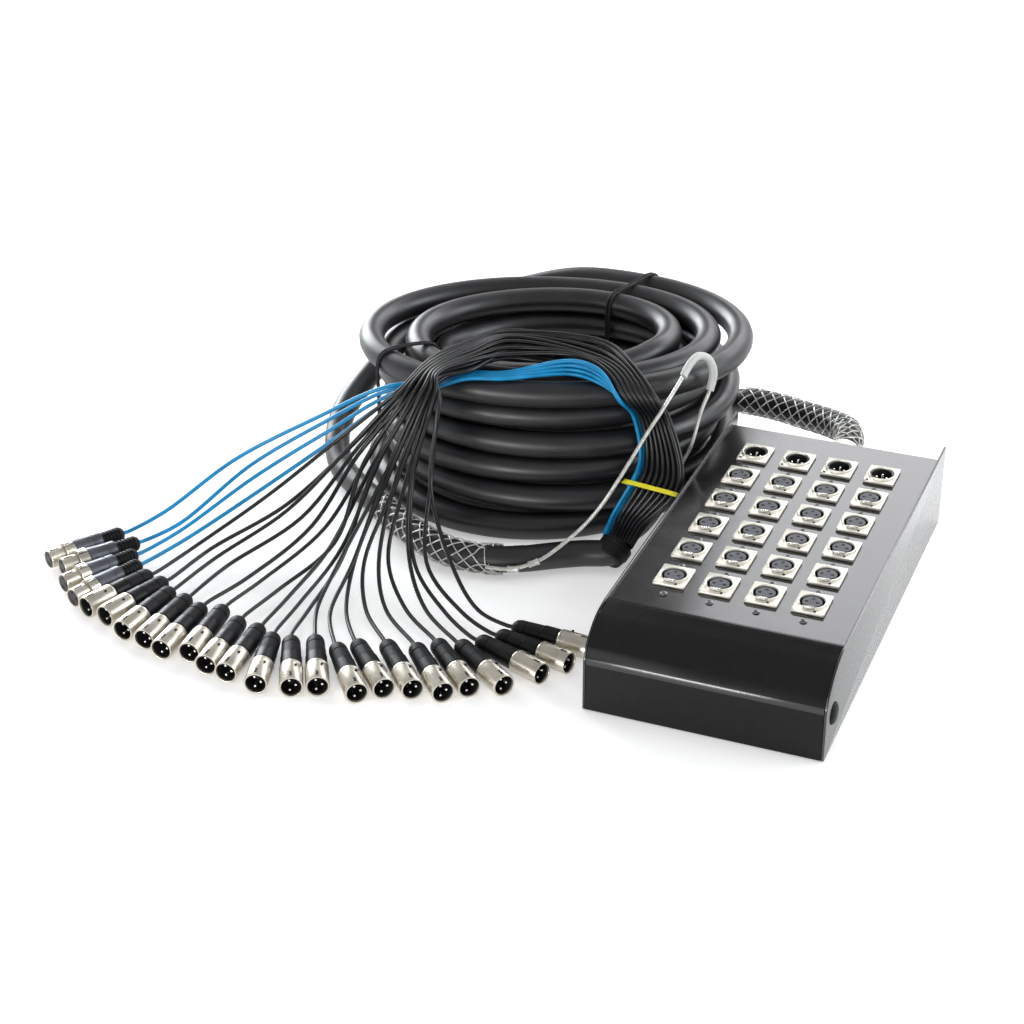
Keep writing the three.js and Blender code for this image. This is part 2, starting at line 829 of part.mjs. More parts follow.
const blackTails = [
  {
    slot: [6, 1],
    points: [[-337, 4, 139], [-385, -10, 92], [-435, -47, 46], [-479, -104, 17]],
    boot: [-498, -155],
    heading: -109,
  },
  {
    slot: [6, 0],
    points: [[-334, 3, 137], [-379, -12, 87], [-418, -60, 44], [-466, -106, 16]],
    boot: [-481, -160],
    heading: -105,
  },
  {
    slot: [5, 1],
    points: [[-331, 6, 143], [-374, -16, 92], [-410, -62, 42], [-456, -118, 15]],
    boot: [-468, -172],
    heading: -95,
  },
  {
    slot: [5, 0],
    points: [[-329, 4, 140], [-369, -18, 88], [-402, -64, 40], [-441, -123, 14]],
    boot: [-450, -177],
    heading: -91,
  },
  {
    slot: [5, -1],
    points: [[-328, 1, 135], [-364, -21, 82], [-386, -75, 36], [-416, -136, 14]],
    boot: [-432, -185],
    heading: -89,
  },
  {
    slot: [4, 1],
    points: [[-326, 6, 145], [-360, -21, 82], [-372, -77, 38], [-403, -135, 14]],
    boot: [-414, -181],
    heading: -85,
  },
  {
    slot: [4, 0],
    points: [[-323, 4, 141], [-354, -27, 82], [-361, -86, 35], [-384, -143, 13]],
    boot: [-393, -192],
    heading: -85,
  },
  {
    slot: [4, -1],
    points: [[-321, 2, 137], [-350, -27, 80], [-356, -92, 32], [-371, -147, 13]],
    boot: [-373, -196],
    heading: -85,
  },
  {
    slot: [3, 1],
    points: [[-319, 4, 146], [-346, -28, 84], [-352, -94, 32], [-358, -158, 13]],
    boot: [-357, -204],
    heading: -74,
  },
  {
    slot: [3, 0],
    points: [[-317, 3, 142], [-341, -31, 79], [-346, -103, 28], [-347, -161, 12]],
    boot: [-341.5, -203],
    heading: -63,
  },
  {
    slot: [3, -1],
    points: [[-315, 2, 138], [-336, -34, 81], [-341, -103, 29], [-342, -154, 12]],
    boot: [-324, -195],
    heading: -62,
  },
  {
    slot: [2, 1],
    points: [[-312, 0, 147], [-332, -34, 84], [-337, -103, 30], [-329, -157, 12]],
    boot: [-303, -199.5],
    heading: -51,
  },
  {
    slot: [2, 0],
    points: [[-311, 1, 143], [-328, -34, 78], [-331, -102, 31], [-318, -150, 12]],
    boot: [-290, -189],
    heading: -47,
  },
  {
    slot: [2, -1],
    points: [[-309, 2, 139], [-324, -35, 79], [-324, -99, 31], [-305, -141, 12]],
    boot: [-268, -181],
    heading: -48,
  },
  {
    slot: [1, 1],
    points: [[-307, 0, 146], [-320, -35, 80], [-314, -97, 32], [-290, -135, 12]],
    boot: [-244.4, -176.6],
    heading: -48,
  },
  {
    slot: [1, 0],
    points: [[-306, 2, 142], [-316, -35, 78], [-303, -93, 32], [-275, -129, 12]],
    boot: [-231, -165],
    heading: -45,
  },
  {
    slot: [1, -1],
    points: [[-303, 0, 138], [-310, -35, 79], [-293, -89, 32], [-260, -123, 12]],
    boot: [-213.5, -160],
    heading: -37,
  },
  {
    slot: [0, 1],
    points: [[-302, 1, 146], [-306, -31, 76], [-284, -85, 30], [-242, -123, 12]],
    boot: [-201.4, -149.4],
    heading: -22,
  },
  {
    slot: [0, 0],
    points: [[-299, 0, 142], [-299, -30, 77], [-273, -81, 30], [-229, -118, 12]],
    boot: [-190, -136.4],
    heading: -14,
  },
  {
    slot: [0, -1],
    points: [[-298, 1, 138], [-293, -30, 74], [-260, -79, 28], [-218, -110, 12]],
    boot: [-183, -120],
    heading: -6,
  },
];

const vector = (values) => new THREE.Vector3(...values);

function stationMiddle(index) {
  const station = stations[THREE.MathUtils.clamp(index, 0, stations.length - 1)];
  return vector(station.near).add(vector(station.far)).divideScalar(2);
}

// The directions at a station: ahead along the bundle, across it from near to far, and away from the coil
function stationFrame(index) {
  const ahead = stationMiddle(index + 1).sub(stationMiddle(index - 1)).normalize();
  if (index === 0) ahead.copy(bootAhead);
  const across = vector(stations[index].far).sub(vector(stations[index].near)).normalize();
  const outward = new THREE.Vector3().crossVectors(across, ahead).normalize();
  return { ahead, across, outward };
}

function stationPlace(index) {
  const { across, outward } = stationFrame(index);
  const inward = outward.clone().negate();
  return new THREE.Matrix4().makeBasis(across, inward, across.clone().cross(inward));
}

// How far a black tail strays at a point of its route: a share that differs from tail to tail and point to point
function strayShare([column, layer], index, pace) {
  return (1 + Math.sin(pace * (bundleLayers * column + layer) + strayPaces[2] * index)) / 2;
}

function blackStationPoint(index, slot) {
  const [column, layer] = slot;
  const { near, far } = stations[index];
  const { across, outward } = stationFrame(index);
  const point = vector(near).lerp(vector(far), column / (bundleColumns - 1));
  point.addScaledVector(outward, layer * bundlePitch);
  if (index < looseStations[0] || index > looseStations[1]) return point;
  point.addScaledVector(across, looseAcross * strayShare(slot, index, strayPaces[0]));
  return point.addScaledVector(outward, looseOutward * strayShare(slot, index, strayPaces[1]));
}

// A point of a tail's own, which hangs a little to one side where the black tails are loose
function ownPoint(tail, point, index) {
  if (!Array.isArray(tail.slot) || index < loosePoints[0] || index > loosePoints[1]) return point;
  const aside = strayPaces.slice(0, 2).map((pace) => looseSideways * (2 * strayShare(tail.slot, index, pace) - 1));
  return [point[0] + aside[0], point[1] + aside[1], point[2]];
}

function blueStationPoint(index, slot) {
  const { near, blueRow } = stations[index];
  const last = blueTails.length - 1;
  if (blueRow) return vector(blueRow[0]).lerp(vector(blueRow[1]), slot / last);
  const { across, outward } = stationFrame(index);
  const point = vector(near).addScaledVector(across, -bluePitch);
  return point.addScaledVector(outward, (slot - last / 2) * bundlePitch);
}

function tailRoute(tail, stationPoint) {
  const angle = THREE.MathUtils.degToRad(tail.heading);
  const ahead = new THREE.Vector3(Math.cos(angle), Math.sin(angle), 0);
  const bootEnd = vector([...tail.boot, plugRadius]).addScaledVector(ahead, -clearance);
  const shared = stations.map((_, i) => stationPoint(i, tail.slot).toArray());
  const straight = bootEnd.clone().addScaledVector(ahead, -straightLength);
  const own = tail.points.map((point, i) => ownPoint(tail, point, i));
  return new ByPoints([...shared, ...own, straight.toArray(), bootEnd.toArray()]);
}

// A tail set: its tails and the block of filler that holds their first ends at the fan-out boot
function tailSet(set, stationPoint, rootSize) {
  const routes = set.map((tail) => tailRoute(tail, stationPoint));
  const tubes = routes.map((route) => tube(route, tailRadius, tailSides, route.spans));
  const starts = routes.map((route) => route.getPoint(0));
  const bounds = new THREE.Box3().setFromPoints(starts);
  const root = solidOf(new THREE.BoxGeometry(...rootSize));
  const place = stationPlace(0);
  place.setPosition(bounds.getCenter(new THREE.Vector3()));
  return joined([root.transform(place.elements), ...tubes]);
}

// Flat tie round the bundle
function bundleTie() {
  const outline = (width, depth) => {
    const shape = new THREE.Shape();
    shape.absarc((width - depth) / 2, 0, depth / 2, -Math.PI / 2, Math.PI / 2);
    shape.absarc((depth - width) / 2, 0, depth / 2, Math.PI / 2, (3 * Math.PI) / 2);
    return shape;
  };
  const band = outline(tieWidth, tieDepth);
  band.holes.push(outline(tieWidth - 2 * tieWall, tieDepth - 2 * tieWall));
  const geometry = new THREE.ExtrudeGeometry(band, {
    depth: tieHeight,
    bevelEnabled: false,
    curveSegments: arcSteps,
  });
  geometry.translate(0, 0, -tieHeight / 2);
  const place = stationPlace(tieStation);
  place.setPosition(vector(tieMiddle));
  geometry.applyMatrix4(place);
  return solidOf(geometry);
}

const snake = new THREE.Group();
const add = (...values) => snake.add(meshOf(...values));

add('stage_box_chassis', chassis(), steelBlack, 0.35, 0.6);
add('connector_panel', connectorPanel(), steelBlack, 0.35, 0.6);
add('return_sockets', socketGroup(maleSocket, places().filter(isReturn)), nickel, 0.3, 0.9);
add('input_sockets', socketGroup(femaleSocket, places().filter((p) => !isReturn(p))), nickel, 0.3, 0.9);
for (const { row, column, x, y } of places().filter((p) => !isReturn(p))) {
  const latch = meshOf(`socket_latch_row_${row + 1}_column_${column + 1}`, latchTab(), nickel, 0.3, 0.9);
  latch.position.set(x, y, panelTop);
  snake.add(latch);
}

add('rear_cord_grip', rearCordGrip(), ropeGrey, 0.5, 0.8);
add('trunk_lead', tube(leadRoute, trunkRadius, trunkSides, leadSteps), cableBlack, 0.5, 0);
add('trunk_coil', coilSolid(coil), cableBlack, 0.5, 0);
add('trunk_end', trunkEnd(), cableBlack, 0.5, 0);
add('front_pulling_grip', frontPullingGrip(), ropeGrey, 0.5, 0.8);
add('black_tails', tailSet(blackTails, blackStationPoint, blackRootSize), cableBlack, 0.55, 0);
add('blue_tails', tailSet(blueTails, blueStationPoint, blueRootSize), tailBlue, 0.45, 0);
add('yellow_tie', bundleTie(), tieYellow, 0.6, 0);

function placePlug(tail, pieces) {
  const lying = new THREE.Group();
  lying.rotation.y = Math.PI / 2;
  lying.add(...pieces);
  const headed = new THREE.Group();
  headed.position.set(...tail.boot, plugRadius);
  headed.rotation.z = THREE.MathUtils.degToRad(tail.heading);
  headed.add(lying);
  snake.add(headed);
}

blackTails.forEach((tail, i) => {
  placePlug(tail, [meshOf(`male_plug_${i + 1}`, malePlug(), nickel, 0.3, 0.9)]);
});

blueTails.forEach((tail, i) => {
  placePlug(tail, [
    meshOf(`female_plug_${i + 1}`, femalePlug(), bodyGrey, 0.45, 0.3),
    meshOf(`female_plug_${i + 1}_lever`, plugLever(), nickel, 0.3, 0.9),
  ]);
});

export default snake;
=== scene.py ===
"""Stage box snake: models and finishes its pieces on the frame, lights it and sets the camera."""

import math
from bisect import bisect_right

import bmesh
import bpy
from bpy.props import FloatProperty, FloatVectorProperty, PointerProperty
from mathutils import Matrix, Vector, geometry


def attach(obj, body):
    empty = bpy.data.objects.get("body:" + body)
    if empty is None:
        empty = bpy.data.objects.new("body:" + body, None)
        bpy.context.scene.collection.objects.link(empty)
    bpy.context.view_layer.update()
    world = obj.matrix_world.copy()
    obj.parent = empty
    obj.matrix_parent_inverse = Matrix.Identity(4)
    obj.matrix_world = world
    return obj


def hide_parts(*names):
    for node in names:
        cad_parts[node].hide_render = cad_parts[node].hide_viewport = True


bl_info = {
    "name": "Stage box snake",
    "version": (1, 0, 0),
    "blender": (4, 5, 0),
    "location": "View3D > Sidebar > Snake",
    "description": "Models a stage box snake piece by piece and lights it",
    "category": "Object",
}

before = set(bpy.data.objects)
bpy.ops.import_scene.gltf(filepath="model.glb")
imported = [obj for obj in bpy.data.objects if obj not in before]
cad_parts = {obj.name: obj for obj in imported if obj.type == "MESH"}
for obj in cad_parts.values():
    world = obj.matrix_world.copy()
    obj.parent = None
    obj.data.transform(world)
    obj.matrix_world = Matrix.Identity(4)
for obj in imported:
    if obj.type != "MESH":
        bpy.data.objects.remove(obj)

TAU = 2 * math.pi
MM = 0.001
UP = Vector((0, 0, 1))
ROOT = "stage_box"
SHARP = math.radians(32)
BEVEL_FROM = math.radians(40)
MERGE = 0.001 * MM

# Box, in millimetres
BOX_WIDTH = 190
BOX_LENGTH = 396
BOX_HEIGHT = 74
SHEET = 2
REAR_INSET = 23
NOSE_RADIUS = 52
NOSE_DEPTH = 45
LIP_DEPTH = 4
PANEL_TOP = 72
WALL_Y = BOX_LENGTH / 2 - REAR_INSET
FRONT_Y = -BOX_LENGTH / 2
NOSE_Y = FRONT_Y + NOSE_DEPTH
NOSE_LEVEL = BOX_HEIGHT - NOSE_RADIUS
NOSE_STEPS = 28
SEAM = 0.25
BEND = 2.5
FOLD = 2.6
FOLD_LEVEL = 44.5
FOLD_STEPS = 4
LIP_STEP = 0.5
LIP_STEPS = 8
LEDGE_WIDTH = 8
BUMPER_FROM_FRONT = 20
BUMPER_LEVEL = 32

# Panel connectors
COLUMN_PITCH = 37
ROW_PITCH = 45
COLUMNS = 4
ROWS = 6
ROWS_MIDDLE_Y = 12.5
RING_TOP = 4.5
LATCH_RISE = 0.9
FLANGE_BORE = 11.4
GROUND_EDGE = 11.8
GROUND_LEVELS = (-22.6, -20.8)
SCREW_PLACE = (0, -25.4, 0.25)
SCREW_TURNS = (0.7, 1.9)
SLOT_LENGTH = 1.3
SLOT_WIDTH = 0.28
SLOT_FLOOR = 0.9
PIN_PLACES = ((-4.3, -1.2), (0, 3.6), (4.3, -1.2))

# Cable plugs
PLUG_RADIUS = 9.5
KEEPER_START = 48.6
KEEPER_END = 57.6
LEVER_MIDDLE = (KEEPER_START + KEEPER_END) / 2

# Trunk and its coil
COIL_CENTRE = (-262, 180)
COIL_TURN = math.radians(21)
COIL_RADII = (161, 129)
COIL_PITCHES = (26, 24.3)
COIL_LAYER_PITCH = 23.7
COIL_START = math.radians(60)
COIL_LAYERS = 6
TURNS_PER_LAYER = 2.5
POINTS_PER_TURN = 24
CLIMB_SHARE = 0.5
FIRST_STEP_SHARES = ((0.45, 0.78), (0.45, 0.78))
LAST_STEP_SHARES = ((0.65, 0.97), (0.5, 0.9))
LAST_SLACK_SHARE = 0.1
SLACK_START_SHARE = 0.2
FRONT_SPREAD_SHARE = 0.2
LAST_RING_WIDER = 8
WIDER_SHARES = (0.9, 1.4)
TRUNK_RADIUS = 11.5
GLAND_X = 6
GLAND_LEVEL = 50

# Woven grips: wires, their lay, height above the trunk and the bunches that they end in
WEAVE_WIRES = 7
WEAVE_LAY = 84
WEAVE_STEP = 2.2
WEAVE_RADIUS = 12.75
WEAVE_RISE = 0.45
BUNCH_REACH = 24
BUNCH_PULL = 0.94
BUNCH_RISE = 0.5
UNDER_GLAND_CAP = 4
REAR_SHARES = (3 / 22, 15.5 / 22)
FRONT_SHARES = (20 / 30, 26 / 30)
REAR_BUNCHES = tuple(math.radians(angle) for angle in (-100, 20, 140))
FRONT_BUNCHES = (0, math.pi)

LEAD_POINTS = (
    (6, 150, 50), (6, 175, 50), (6, 205, 50), (3, 228, 49.5), (-6, 250, 47), (-24, 267, 43),
    (-50, 281, 39.5), (-82, 292.5, 38), (-115, 302, 34), (-135, 308.5, 26), (-153, 314, 18),
    (-172, 318, 12.8),
)
END_POINTS = (
    (-290, 322, 124), (-335, 314, 113), (-378, 289, 99), (-420, 257, 76), (-449, 219, 60),
    (-458, 180, 47), (-459, 143, 36.5), (-450, 106, 25), (-430, 73, 15.5), (-400, 45, 14.2),
    (-364, 18, 14.2), (-335, -4, 14.2), (-302, -24, 14.2), (-272, -34, 14.2), (-242, -33, 14.2),
    (-216, -23.5, 14.2), (-189, -6, 14.2), (-170, 5, 14.2),
)
BOOT_MOUTH = Vector((-144, 20, 20))
BOOT_AHEAD = Vector((0.25, 0.86, 0.45)).normalized()
BOOT_LENGTH = 16
TRUNK_SHORT_OF_MOUTH = 2

# Rope loop of the pulling grip, between its two starts beside the sleeve
SLEEVE_RADIUS = 13.9
STRANDS = 6
STRAND_STEP = 2.4
STRAND_RADIUS = 1.2
STRAND_LAY = 22
CRIMP_SHARES = (0.03, 0.06, 0.924, 0.954)
CRIMP_SPAN_SHARE = 0.016
THIMBLE_SHARES = (0.42, 0.53)
THIMBLE_STEPS = 40
THIMBLE_RADII = (3.6, 2.3)
THIMBLE_HALF_ARC = 125
THIMBLE_HALF_STEPS = 6
LOOP_POINTS = (
    (-196, -30, 20.5), (-181, -15, 31), (-165, -2, 47.5), (-152.5, 5, 66), (-141, 12, 88),
    (-128.5, 50.5, 118), (-124, 59, 127), (-117, 100, 146), (-115, 116, 153), (-111, 127, 156),
    (-104, 133, 152), (-99, 132.5, 141), (-100, 128, 126), (-103, 116.5, 112), (-106, 100, 85),
    (-115.5, 104.5, 62), (-121, 98, 40), (-128, 84, 20), (-137, 66, 8), (-150, 45, 5),
    (-168, 30, 4.5), (-190, 17, 5),
)

# Places of the rope's ends: share of the trunk's line to the boot, and side of the sleeve
ROPE_START = ((0.85, -1), (0.875, -1.12))
ROPE_END = ((0.9, 1.2), (0.875, 1.12), (0.85, 1))
ROPE_OFF_SLEEVE = 0.75

# Bundle stations of the tails: near and far edge of the black ones' middle layer, and the blue ones' row
STATIONS = (
    ((-149.7, 23.33, 20.81), (-131.26, 17.95, 20.81), None),
    ((-150, 49, 29), (-127, 41, 30), None),
    ((-138, 60.5, 58), (-105, 55.6, 58), None),
    ((-136, 79, 74), (-103, 66.5, 74), None),
    ((-146, 86.5, 113), (-121, 83, 113), None),
    ((-155, 67, 135.8), (-130, 74, 135.8), None),
    ((-176, 74, 150), (-158, 92, 150), None),
    ((-205.6, 80, 152), (-196, 112, 152), None),
    ((-265, 69, 152), (-279, 112, 152), ((-259.5, 46, 144.5), (-263, 57.8, 144.5))),
    ((-285, 36, 152.5), (-303, 80, 152.5), ((-289, 37, 143.4), (-294.5, 48, 143.4))),
    ((-305.7, 15.1, 151), (-323, 38, 151), ((-308, 24, 139), (-314, 35, 139))),
)
BUNDLE_COLUMNS = 7
BUNDLE_LAYERS = 3
BUNDLE_PITCH = 4.1
BLUE_PITCH = 6.4
STRAIGHT = 7
LOOSE_STATIONS = (7, 8, 9)
LOOSE_POINTS = (1, 2)
LOOSE_ACROSS = 9
LOOSE_OUTWARD = 3
LOOSE_SIDEWAYS = 4
STRAY_PACES = (2.4, 1.7, 1.9)
IN_BOOT = 10
CLEARANCE = 0.3
TIE_MIDDLE = Vector((-126.6, 58.8, 58))
TIE_STATION = 2
TIE_SIZE = (56, 20)
TIE_HALF_THICKNESS = 0.6
TIE_BEND_STEPS = 16

# Strings on the coil: the turn where each is knotted and the rings that it holds, and how far its ends hang
STRINGS = ((14.415, 2), (14.995, 3))
STRING_FALLS = ((55, 25, 0), (0, 30, 50))
STRING_APART = 1.5

# Camera: turns left, down and about its axis, focal length in millimetres and place in metres
CAMERA_ANGLES = tuple(math.radians(angle) for angle in (22.04, 28.83, -0.21))
CAMERA_LENS = 76.92
CAMERA_PLACE = (0.38014, -1.51332, 0.94284)

# Lights: place, what each is turned to, size in metres, power in watts and tint
MIDDLE = (-0.15, 0, 0.05)
WHITE = (1, 1, 1)
COOL = (0.93, 0.97, 1.0)
LIGHTS = {
    "back_softbox": ((0.4, 2.0, 1.3), MIDDLE, (2.24, 0.8), 27, (0.965, 0.97, 1.0)),
    "left_softbox": ((-2.2, 1.5, 0.85), (-0.3, 0.15, 0.1), (1.5, 1.3), 70, COOL),
    "right_softbox": ((2.0, 0.5, 1.3), (-0.2, 0.15, 0.1), (1.4, 1.4), 32, COOL),
    "front_softbox": ((-1.7, -2.1, 0.75), (-0.3, 0.05, 0.08), (1.7, 0.6), 7, WHITE),
    "front_strip": ((-0.6, -2.2, 0.16), MIDDLE, (1.25, 0.16), 20, WHITE),
    "overhead_softbox": ((-0.3, -0.2, 2.4), MIDDLE, (1.8, 1.8), 8, WHITE),
}

# Slot in the bundle, own points of the route, boot end and heading of each tail
BLUE_TAILS = (
    (3, ((-352, 9, 137), (-414, 1, 101), (-486, -23, 57), (-530, -74, 22)), (-557, -102), -119),
    (2, ((-351, 11, 133), (-410, 5, 95), (-473, -20, 52), (-510, -82, 19)), (-536, -111), -122),
    (1, ((-349, 11, 129), (-404, 4, 89), (-464, -29, 47), (-505, -89, 17)), (-527, -130), -116),
    (0, ((-347, 11, 125), (-398, 1, 83), (-453, -36, 41), (-495, -97, 15)), (-515, -144), -109),
)
BLACK_TAILS = (
    ((6, 1), ((-337, 4, 139), (-385, -10, 92), (-435, -47, 46), (-479, -104, 17)), (-498, -155), -109),
    ((6, 0), ((-334, 3, 137), (-379, -12, 87), (-418, -60, 44), (-466, -106, 16)), (-481, -160), -105),
    ((5, 1), ((-331, 6, 143), (-374, -16, 92), (-410, -62, 42), (-456, -118, 15)), (-468, -172), -95),
    ((5, 0), ((-329, 4, 140), (-369, -18, 88), (-402, -64, 40), (-441, -123, 14)), (-450, -177), -91),
    ((5, -1), ((-328, 1, 135), (-364, -21, 82), (-386, -75, 36), (-416, -136, 14)), (-432, -185), -89),
    ((4, 1), ((-326, 6, 145), (-360, -21, 82), (-372, -77, 38), (-403, -135, 14)), (-414, -181), -85),
    ((4, 0), ((-323, 4, 141), (-354, -27, 82), (-361, -86, 35), (-384, -143, 13)), (-393, -192), -85),
    ((4, -1), ((-321, 2, 137), (-350, -27, 80), (-356, -92, 32), (-371, -147, 13)), (-373, -196), -85),
    ((3, 1), ((-319, 4, 146), (-346, -28, 84), (-352, -94, 32), (-358, -158, 13)), (-357, -204), -74),
    ((3, 0), ((-317, 3, 142), (-341, -31, 79), (-346, -103, 28), (-347, -161, 12)), (-341.5, -203), -63),
    ((3, -1), ((-315, 2, 138), (-336, -34, 81), (-341, -103, 29), (-342, -154, 12)), (-324, -195), -62),
    ((2, 1), ((-312, 0, 147), (-332, -34, 84), (-337, -103, 30), (-329, -157, 12)), (-303, -199.5), -51),
    ((2, 0), ((-311, 1, 143), (-328, -34, 78), (-331, -102, 31), (-318, -150, 12)), (-290, -189), -47),
    ((2, -1), ((-309, 2, 139), (-324, -35, 79), (-324, -99, 31), (-305, -141, 12)), (-268, -181), -48),
    ((1, 1), ((-307, 0, 146), (-320, -35, 80), (-314, -97, 32), (-290, -135, 12)), (-244.4, -176.6), -48),
    ((1, 0), ((-306, 2, 142), (-316, -35, 78), (-303, -93, 32), (-275, -129, 12)), (-231, -165), -45),
    ((1, -1), ((-303, 0, 138), (-310, -35, 79), (-293, -89, 32), (-260, -123, 12)), (-213.5, -160), -37),
    ((0, 1), ((-302, 1, 146), (-306, -31, 76), (-284, -85, 30), (-242, -123, 12)), (-201.4, -149.4), -22),
    ((0, 0), ((-299, 0, 142), (-299, -30, 77), (-273, -81, 30), (-229, -118, 12)), (-190, -136.4), -14),
    ((0, -1), ((-298, 1, 138), (-293, -30, 74), (-260, -79, 28), (-218, -110, 12)), (-183, -120), -6),
)


def length(name, description, default):
    return FloatProperty(name=name, description=description, default=default, min=0.0001, unit="LENGTH")


def colour(name, description, default):
    return FloatVectorProperty(
        name=name, description=description, default=default, size=3, min=0, max=1, subtype="COLOR"
    )


class SnakeSizes(bpy.types.PropertyGroup):
    """Sizes that a user would change"""

    trunk: length("Trunk", "Diameter of the trunk cable", 0.023)
    tail: length("Tail", "Diameter of a tail", 0.0036)
    rope: length("Rope", "Diameter of the wire rope's core", 0.003)
    strand: length("Strand", "Diameter of one strand of the wire rope", 0.0011)
    wire: length("Wire", "Diameter of a wire in the woven grips", 0.0012)
    string: length("String", "Diameter of the coil's strings", 0.0024)
    screw: length("Screw", "Radius of a panel screw's head", 0.003)


class SnakeColours(bpy.types.PropertyGroup):
    """Colours that a user would change"""

    paint: colour("Paint", "Lacquer of the box", (0.012, 0.012, 0.013))
    jacket: colour("Jacket", "Jacket of the trunk", (0.012, 0.012, 0.0138))
    blue: colour("Blue", "Jacket of the blue tails", (0.001, 0.26, 0.55))
    yellow: colour("Yellow", "Tie on the tails", (1.0, 0.87, 0.04))
    nickel: colour("Nickel", "Plated shells and flanges", (0.8, 0.77, 0.69))
    shell: colour("Shell", "Body of a female cable plug", (0.075, 0.08, 0.095))
    wire: colour("Wire", "Galvanised wire", (0.62, 0.62, 0.58))
    insert: colour("Insert", "Face of a female panel connector", (0.12, 0.125, 0.14))


def sizes():
    return bpy.context.scene.snake_sizes


def colours():
    return bpy.context.scene.snake_colours


# Finishes

# Tone, or the name of a user's colour; roughness from and to; grains in a metre; relief in metres; the rest
FINISHES = {
    "box_lacquer": ("paint", (0.2, 0.24), 1400, 0.00001, {"spread": 0.08, "specular": 0.16}),
    # The cheeks' lacquer: the same paint as box_lacquer with a coat and more reflection, a painted sheen on
    # the sides.
    "side_lacquer": ("paint", (0.27, 0.28), 1400, 0.000001, {"spread": 0.08, "specular": 0.3, "coat": 1.0}),
    # Same paint as box_lacquer with stronger reflection: painted highlight along the fold below the nose.
    "fold_lacquer": ("paint", (0.18, 0.22), 1400, 0.000005, {"spread": 0.08, "specular": 0.65}),
    "panel_lacquer": ("paint", (0.11, 0.15), 900, 0.000004, {"spread": 0.1}),
    "nickel_plate": ("nickel", (0.36, 0.5), 700, 0.00004, {"metallic": 0.75, "spread": 0.1}),
    "plug_nickel": ((0.62, 0.58, 0.5), (0.24, 0.38), 700, 0.00004, {"metallic": 0.85, "spread": 0.1}),
    "latch_steel": ((0.8, 0.79, 0.76), (0.12, 0.25), 900, 0.00003, {"metallic": 1.0, "spread": 0.06}),
    "contact_silver": ((0.85, 0.84, 0.8), (0.15, 0.3), 900, 0.00002, {"metallic": 1.0, "spread": 0.06}),
    "insert_plastic": ("insert", (0.45, 0.6), 1200, 0.00005, {"spread": 0.15, "specular": 0.3}),
    "black_plastic": ((0.014, 0.014, 0.015), (0.35, 0.55), 1300, 0.00006, {}),
    # Near-black standing for the shade inside holes, slots and grooves: painted shade.
    "well_black": ((0.004, 0.004, 0.004), (0.6, 0.8), 1300, 0.00004, {}),
    "trunk_jacket": ("jacket", (0.34, 0.46), 420, 0.0001, {"spread": 0.3, "specular": 0.65}),
    "tail_jacket": ((0.007, 0.007, 0.008), (0.28, 0.38), 900, 0.00006, {"spread": 0.3}),
    "blue_jacket": ("blue", (0.36, 0.5), 900, 0.00006, {"spread": 0.14}),
    "boot_rubber": ((0.009, 0.009, 0.01), (0.42, 0.58), 800, 0.00012, {"specular": 0.18}),
    "collar_plastic": ((0.007, 0.007, 0.008), (0.32, 0.46), 1100, 0.00005, {"specular": 0.22}),
    "shell_lacquer": ("shell", (0.3, 0.44), 1000, 0.00005, {"metallic": 0.35, "spread": 0.16}),
    "zinc_wire": ("wire", (0.3, 0.5), 1500, 0.00008, {"metallic": 0.55, "spread": 0.2}),
    "thimble_plastic": ((0.6, 0.61, 0.6), (0.3, 0.45), 500, 0.0001, {"spread": 0.12}),
    "tie_plastic": ("yellow", (0.4, 0.55), 900, 0.0001, {"spread": 0.08}),
    "string_twine": ((0.01, 0.01, 0.011), (0.7, 0.85), 2200, 0.0004, {}),
    "screw_black": ((0.2, 0.2, 0.21), (0.24, 0.36), 1200, 0.00004, {"metallic": 0.9, "spread": 0.2}),
}
USUAL_FINISH = {"metallic": 0.0, "spread": 0.35, "specular": 0.5, "coat": 0.0}
BROAD_GRAIN = 12
NOISE_RANGE = (0.3, 0.7)


def fill(node, **values):
    """Sets a node's inputs; an underscore stands for a space in an input's name."""
    for name, value in values.items():
        node.inputs[name.replace("_", " ")].default_value = value
    return node


def add_node(tree, kind, **values):
    return fill(tree.nodes.new(f"ShaderNode{kind}"), **values)


def link(tree, *links):
    """Joins nodes, each link from an output of one to an input of another."""
    for source, output, goal, entry in links:
        tree.links.new(source.outputs[output], goal.inputs[entry])


def finish(name):
    """The finish of that name: two tones in a noise, a roughness that wanders and a fine relief."""
    found = bpy.data.materials.get(name)
    if found:
        return found
    tone, rough, grain, relief, extras = FINISHES[name]
    if isinstance(tone, str):
        tone = getattr(colours(), tone)
    look = {**USUAL_FINISH, **extras}
    material = bpy.data.materials.new(name)
    material.use_nodes = True
    material.diffuse_color = (*tone, 1)
    tree = material.node_tree
    shader = fill(
        tree.nodes["Principled BSDF"], Metallic=look["metallic"], Specular_IOR_Level=look["specular"],
        Coat_Weight=look["coat"], Coat_Roughness=rough[0],
    )
    place = add_node(tree, "TexCoord")
    broad = add_node(tree, "TexNoise", Scale=grain / BROAD_GRAIN, Detail=5)
    fine = add_node(tree, "TexNoise", Scale=grain, Detail=4)
    tones = add_node(tree, "ValToRGB")
    for element, position, change in zip(tones.color_ramp.elements, NOISE_RANGE, (-1, 1)):
        element.position = position
        element.color = (*(min(1, c * (1 + change * look["spread"])) for c in tone), 1)
    wander = add_node(
        tree, "MapRange", From_Min=NOISE_RANGE[0], From_Max=NOISE_RANGE[1], To_Min=rough[0], To_Max=rough[1]
    )
    bump = add_node(tree, "Bump", Strength=0.6, Distance=relief)
    link(
        tree, (place, "Object", broad, "Vector"), (place, "Object", fine, "Vector"),
        (broad, "Fac", tones, "Fac"), (tones, "Color", shader, "Base Color"),
        (broad, "Fac", wander, "Value"), (wander, "Result", shader, "Roughness"),
        (fine, "Fac", bump, "Height"), (bump, "Normal", shader, "Normal"),
    )
    return material


# Forms


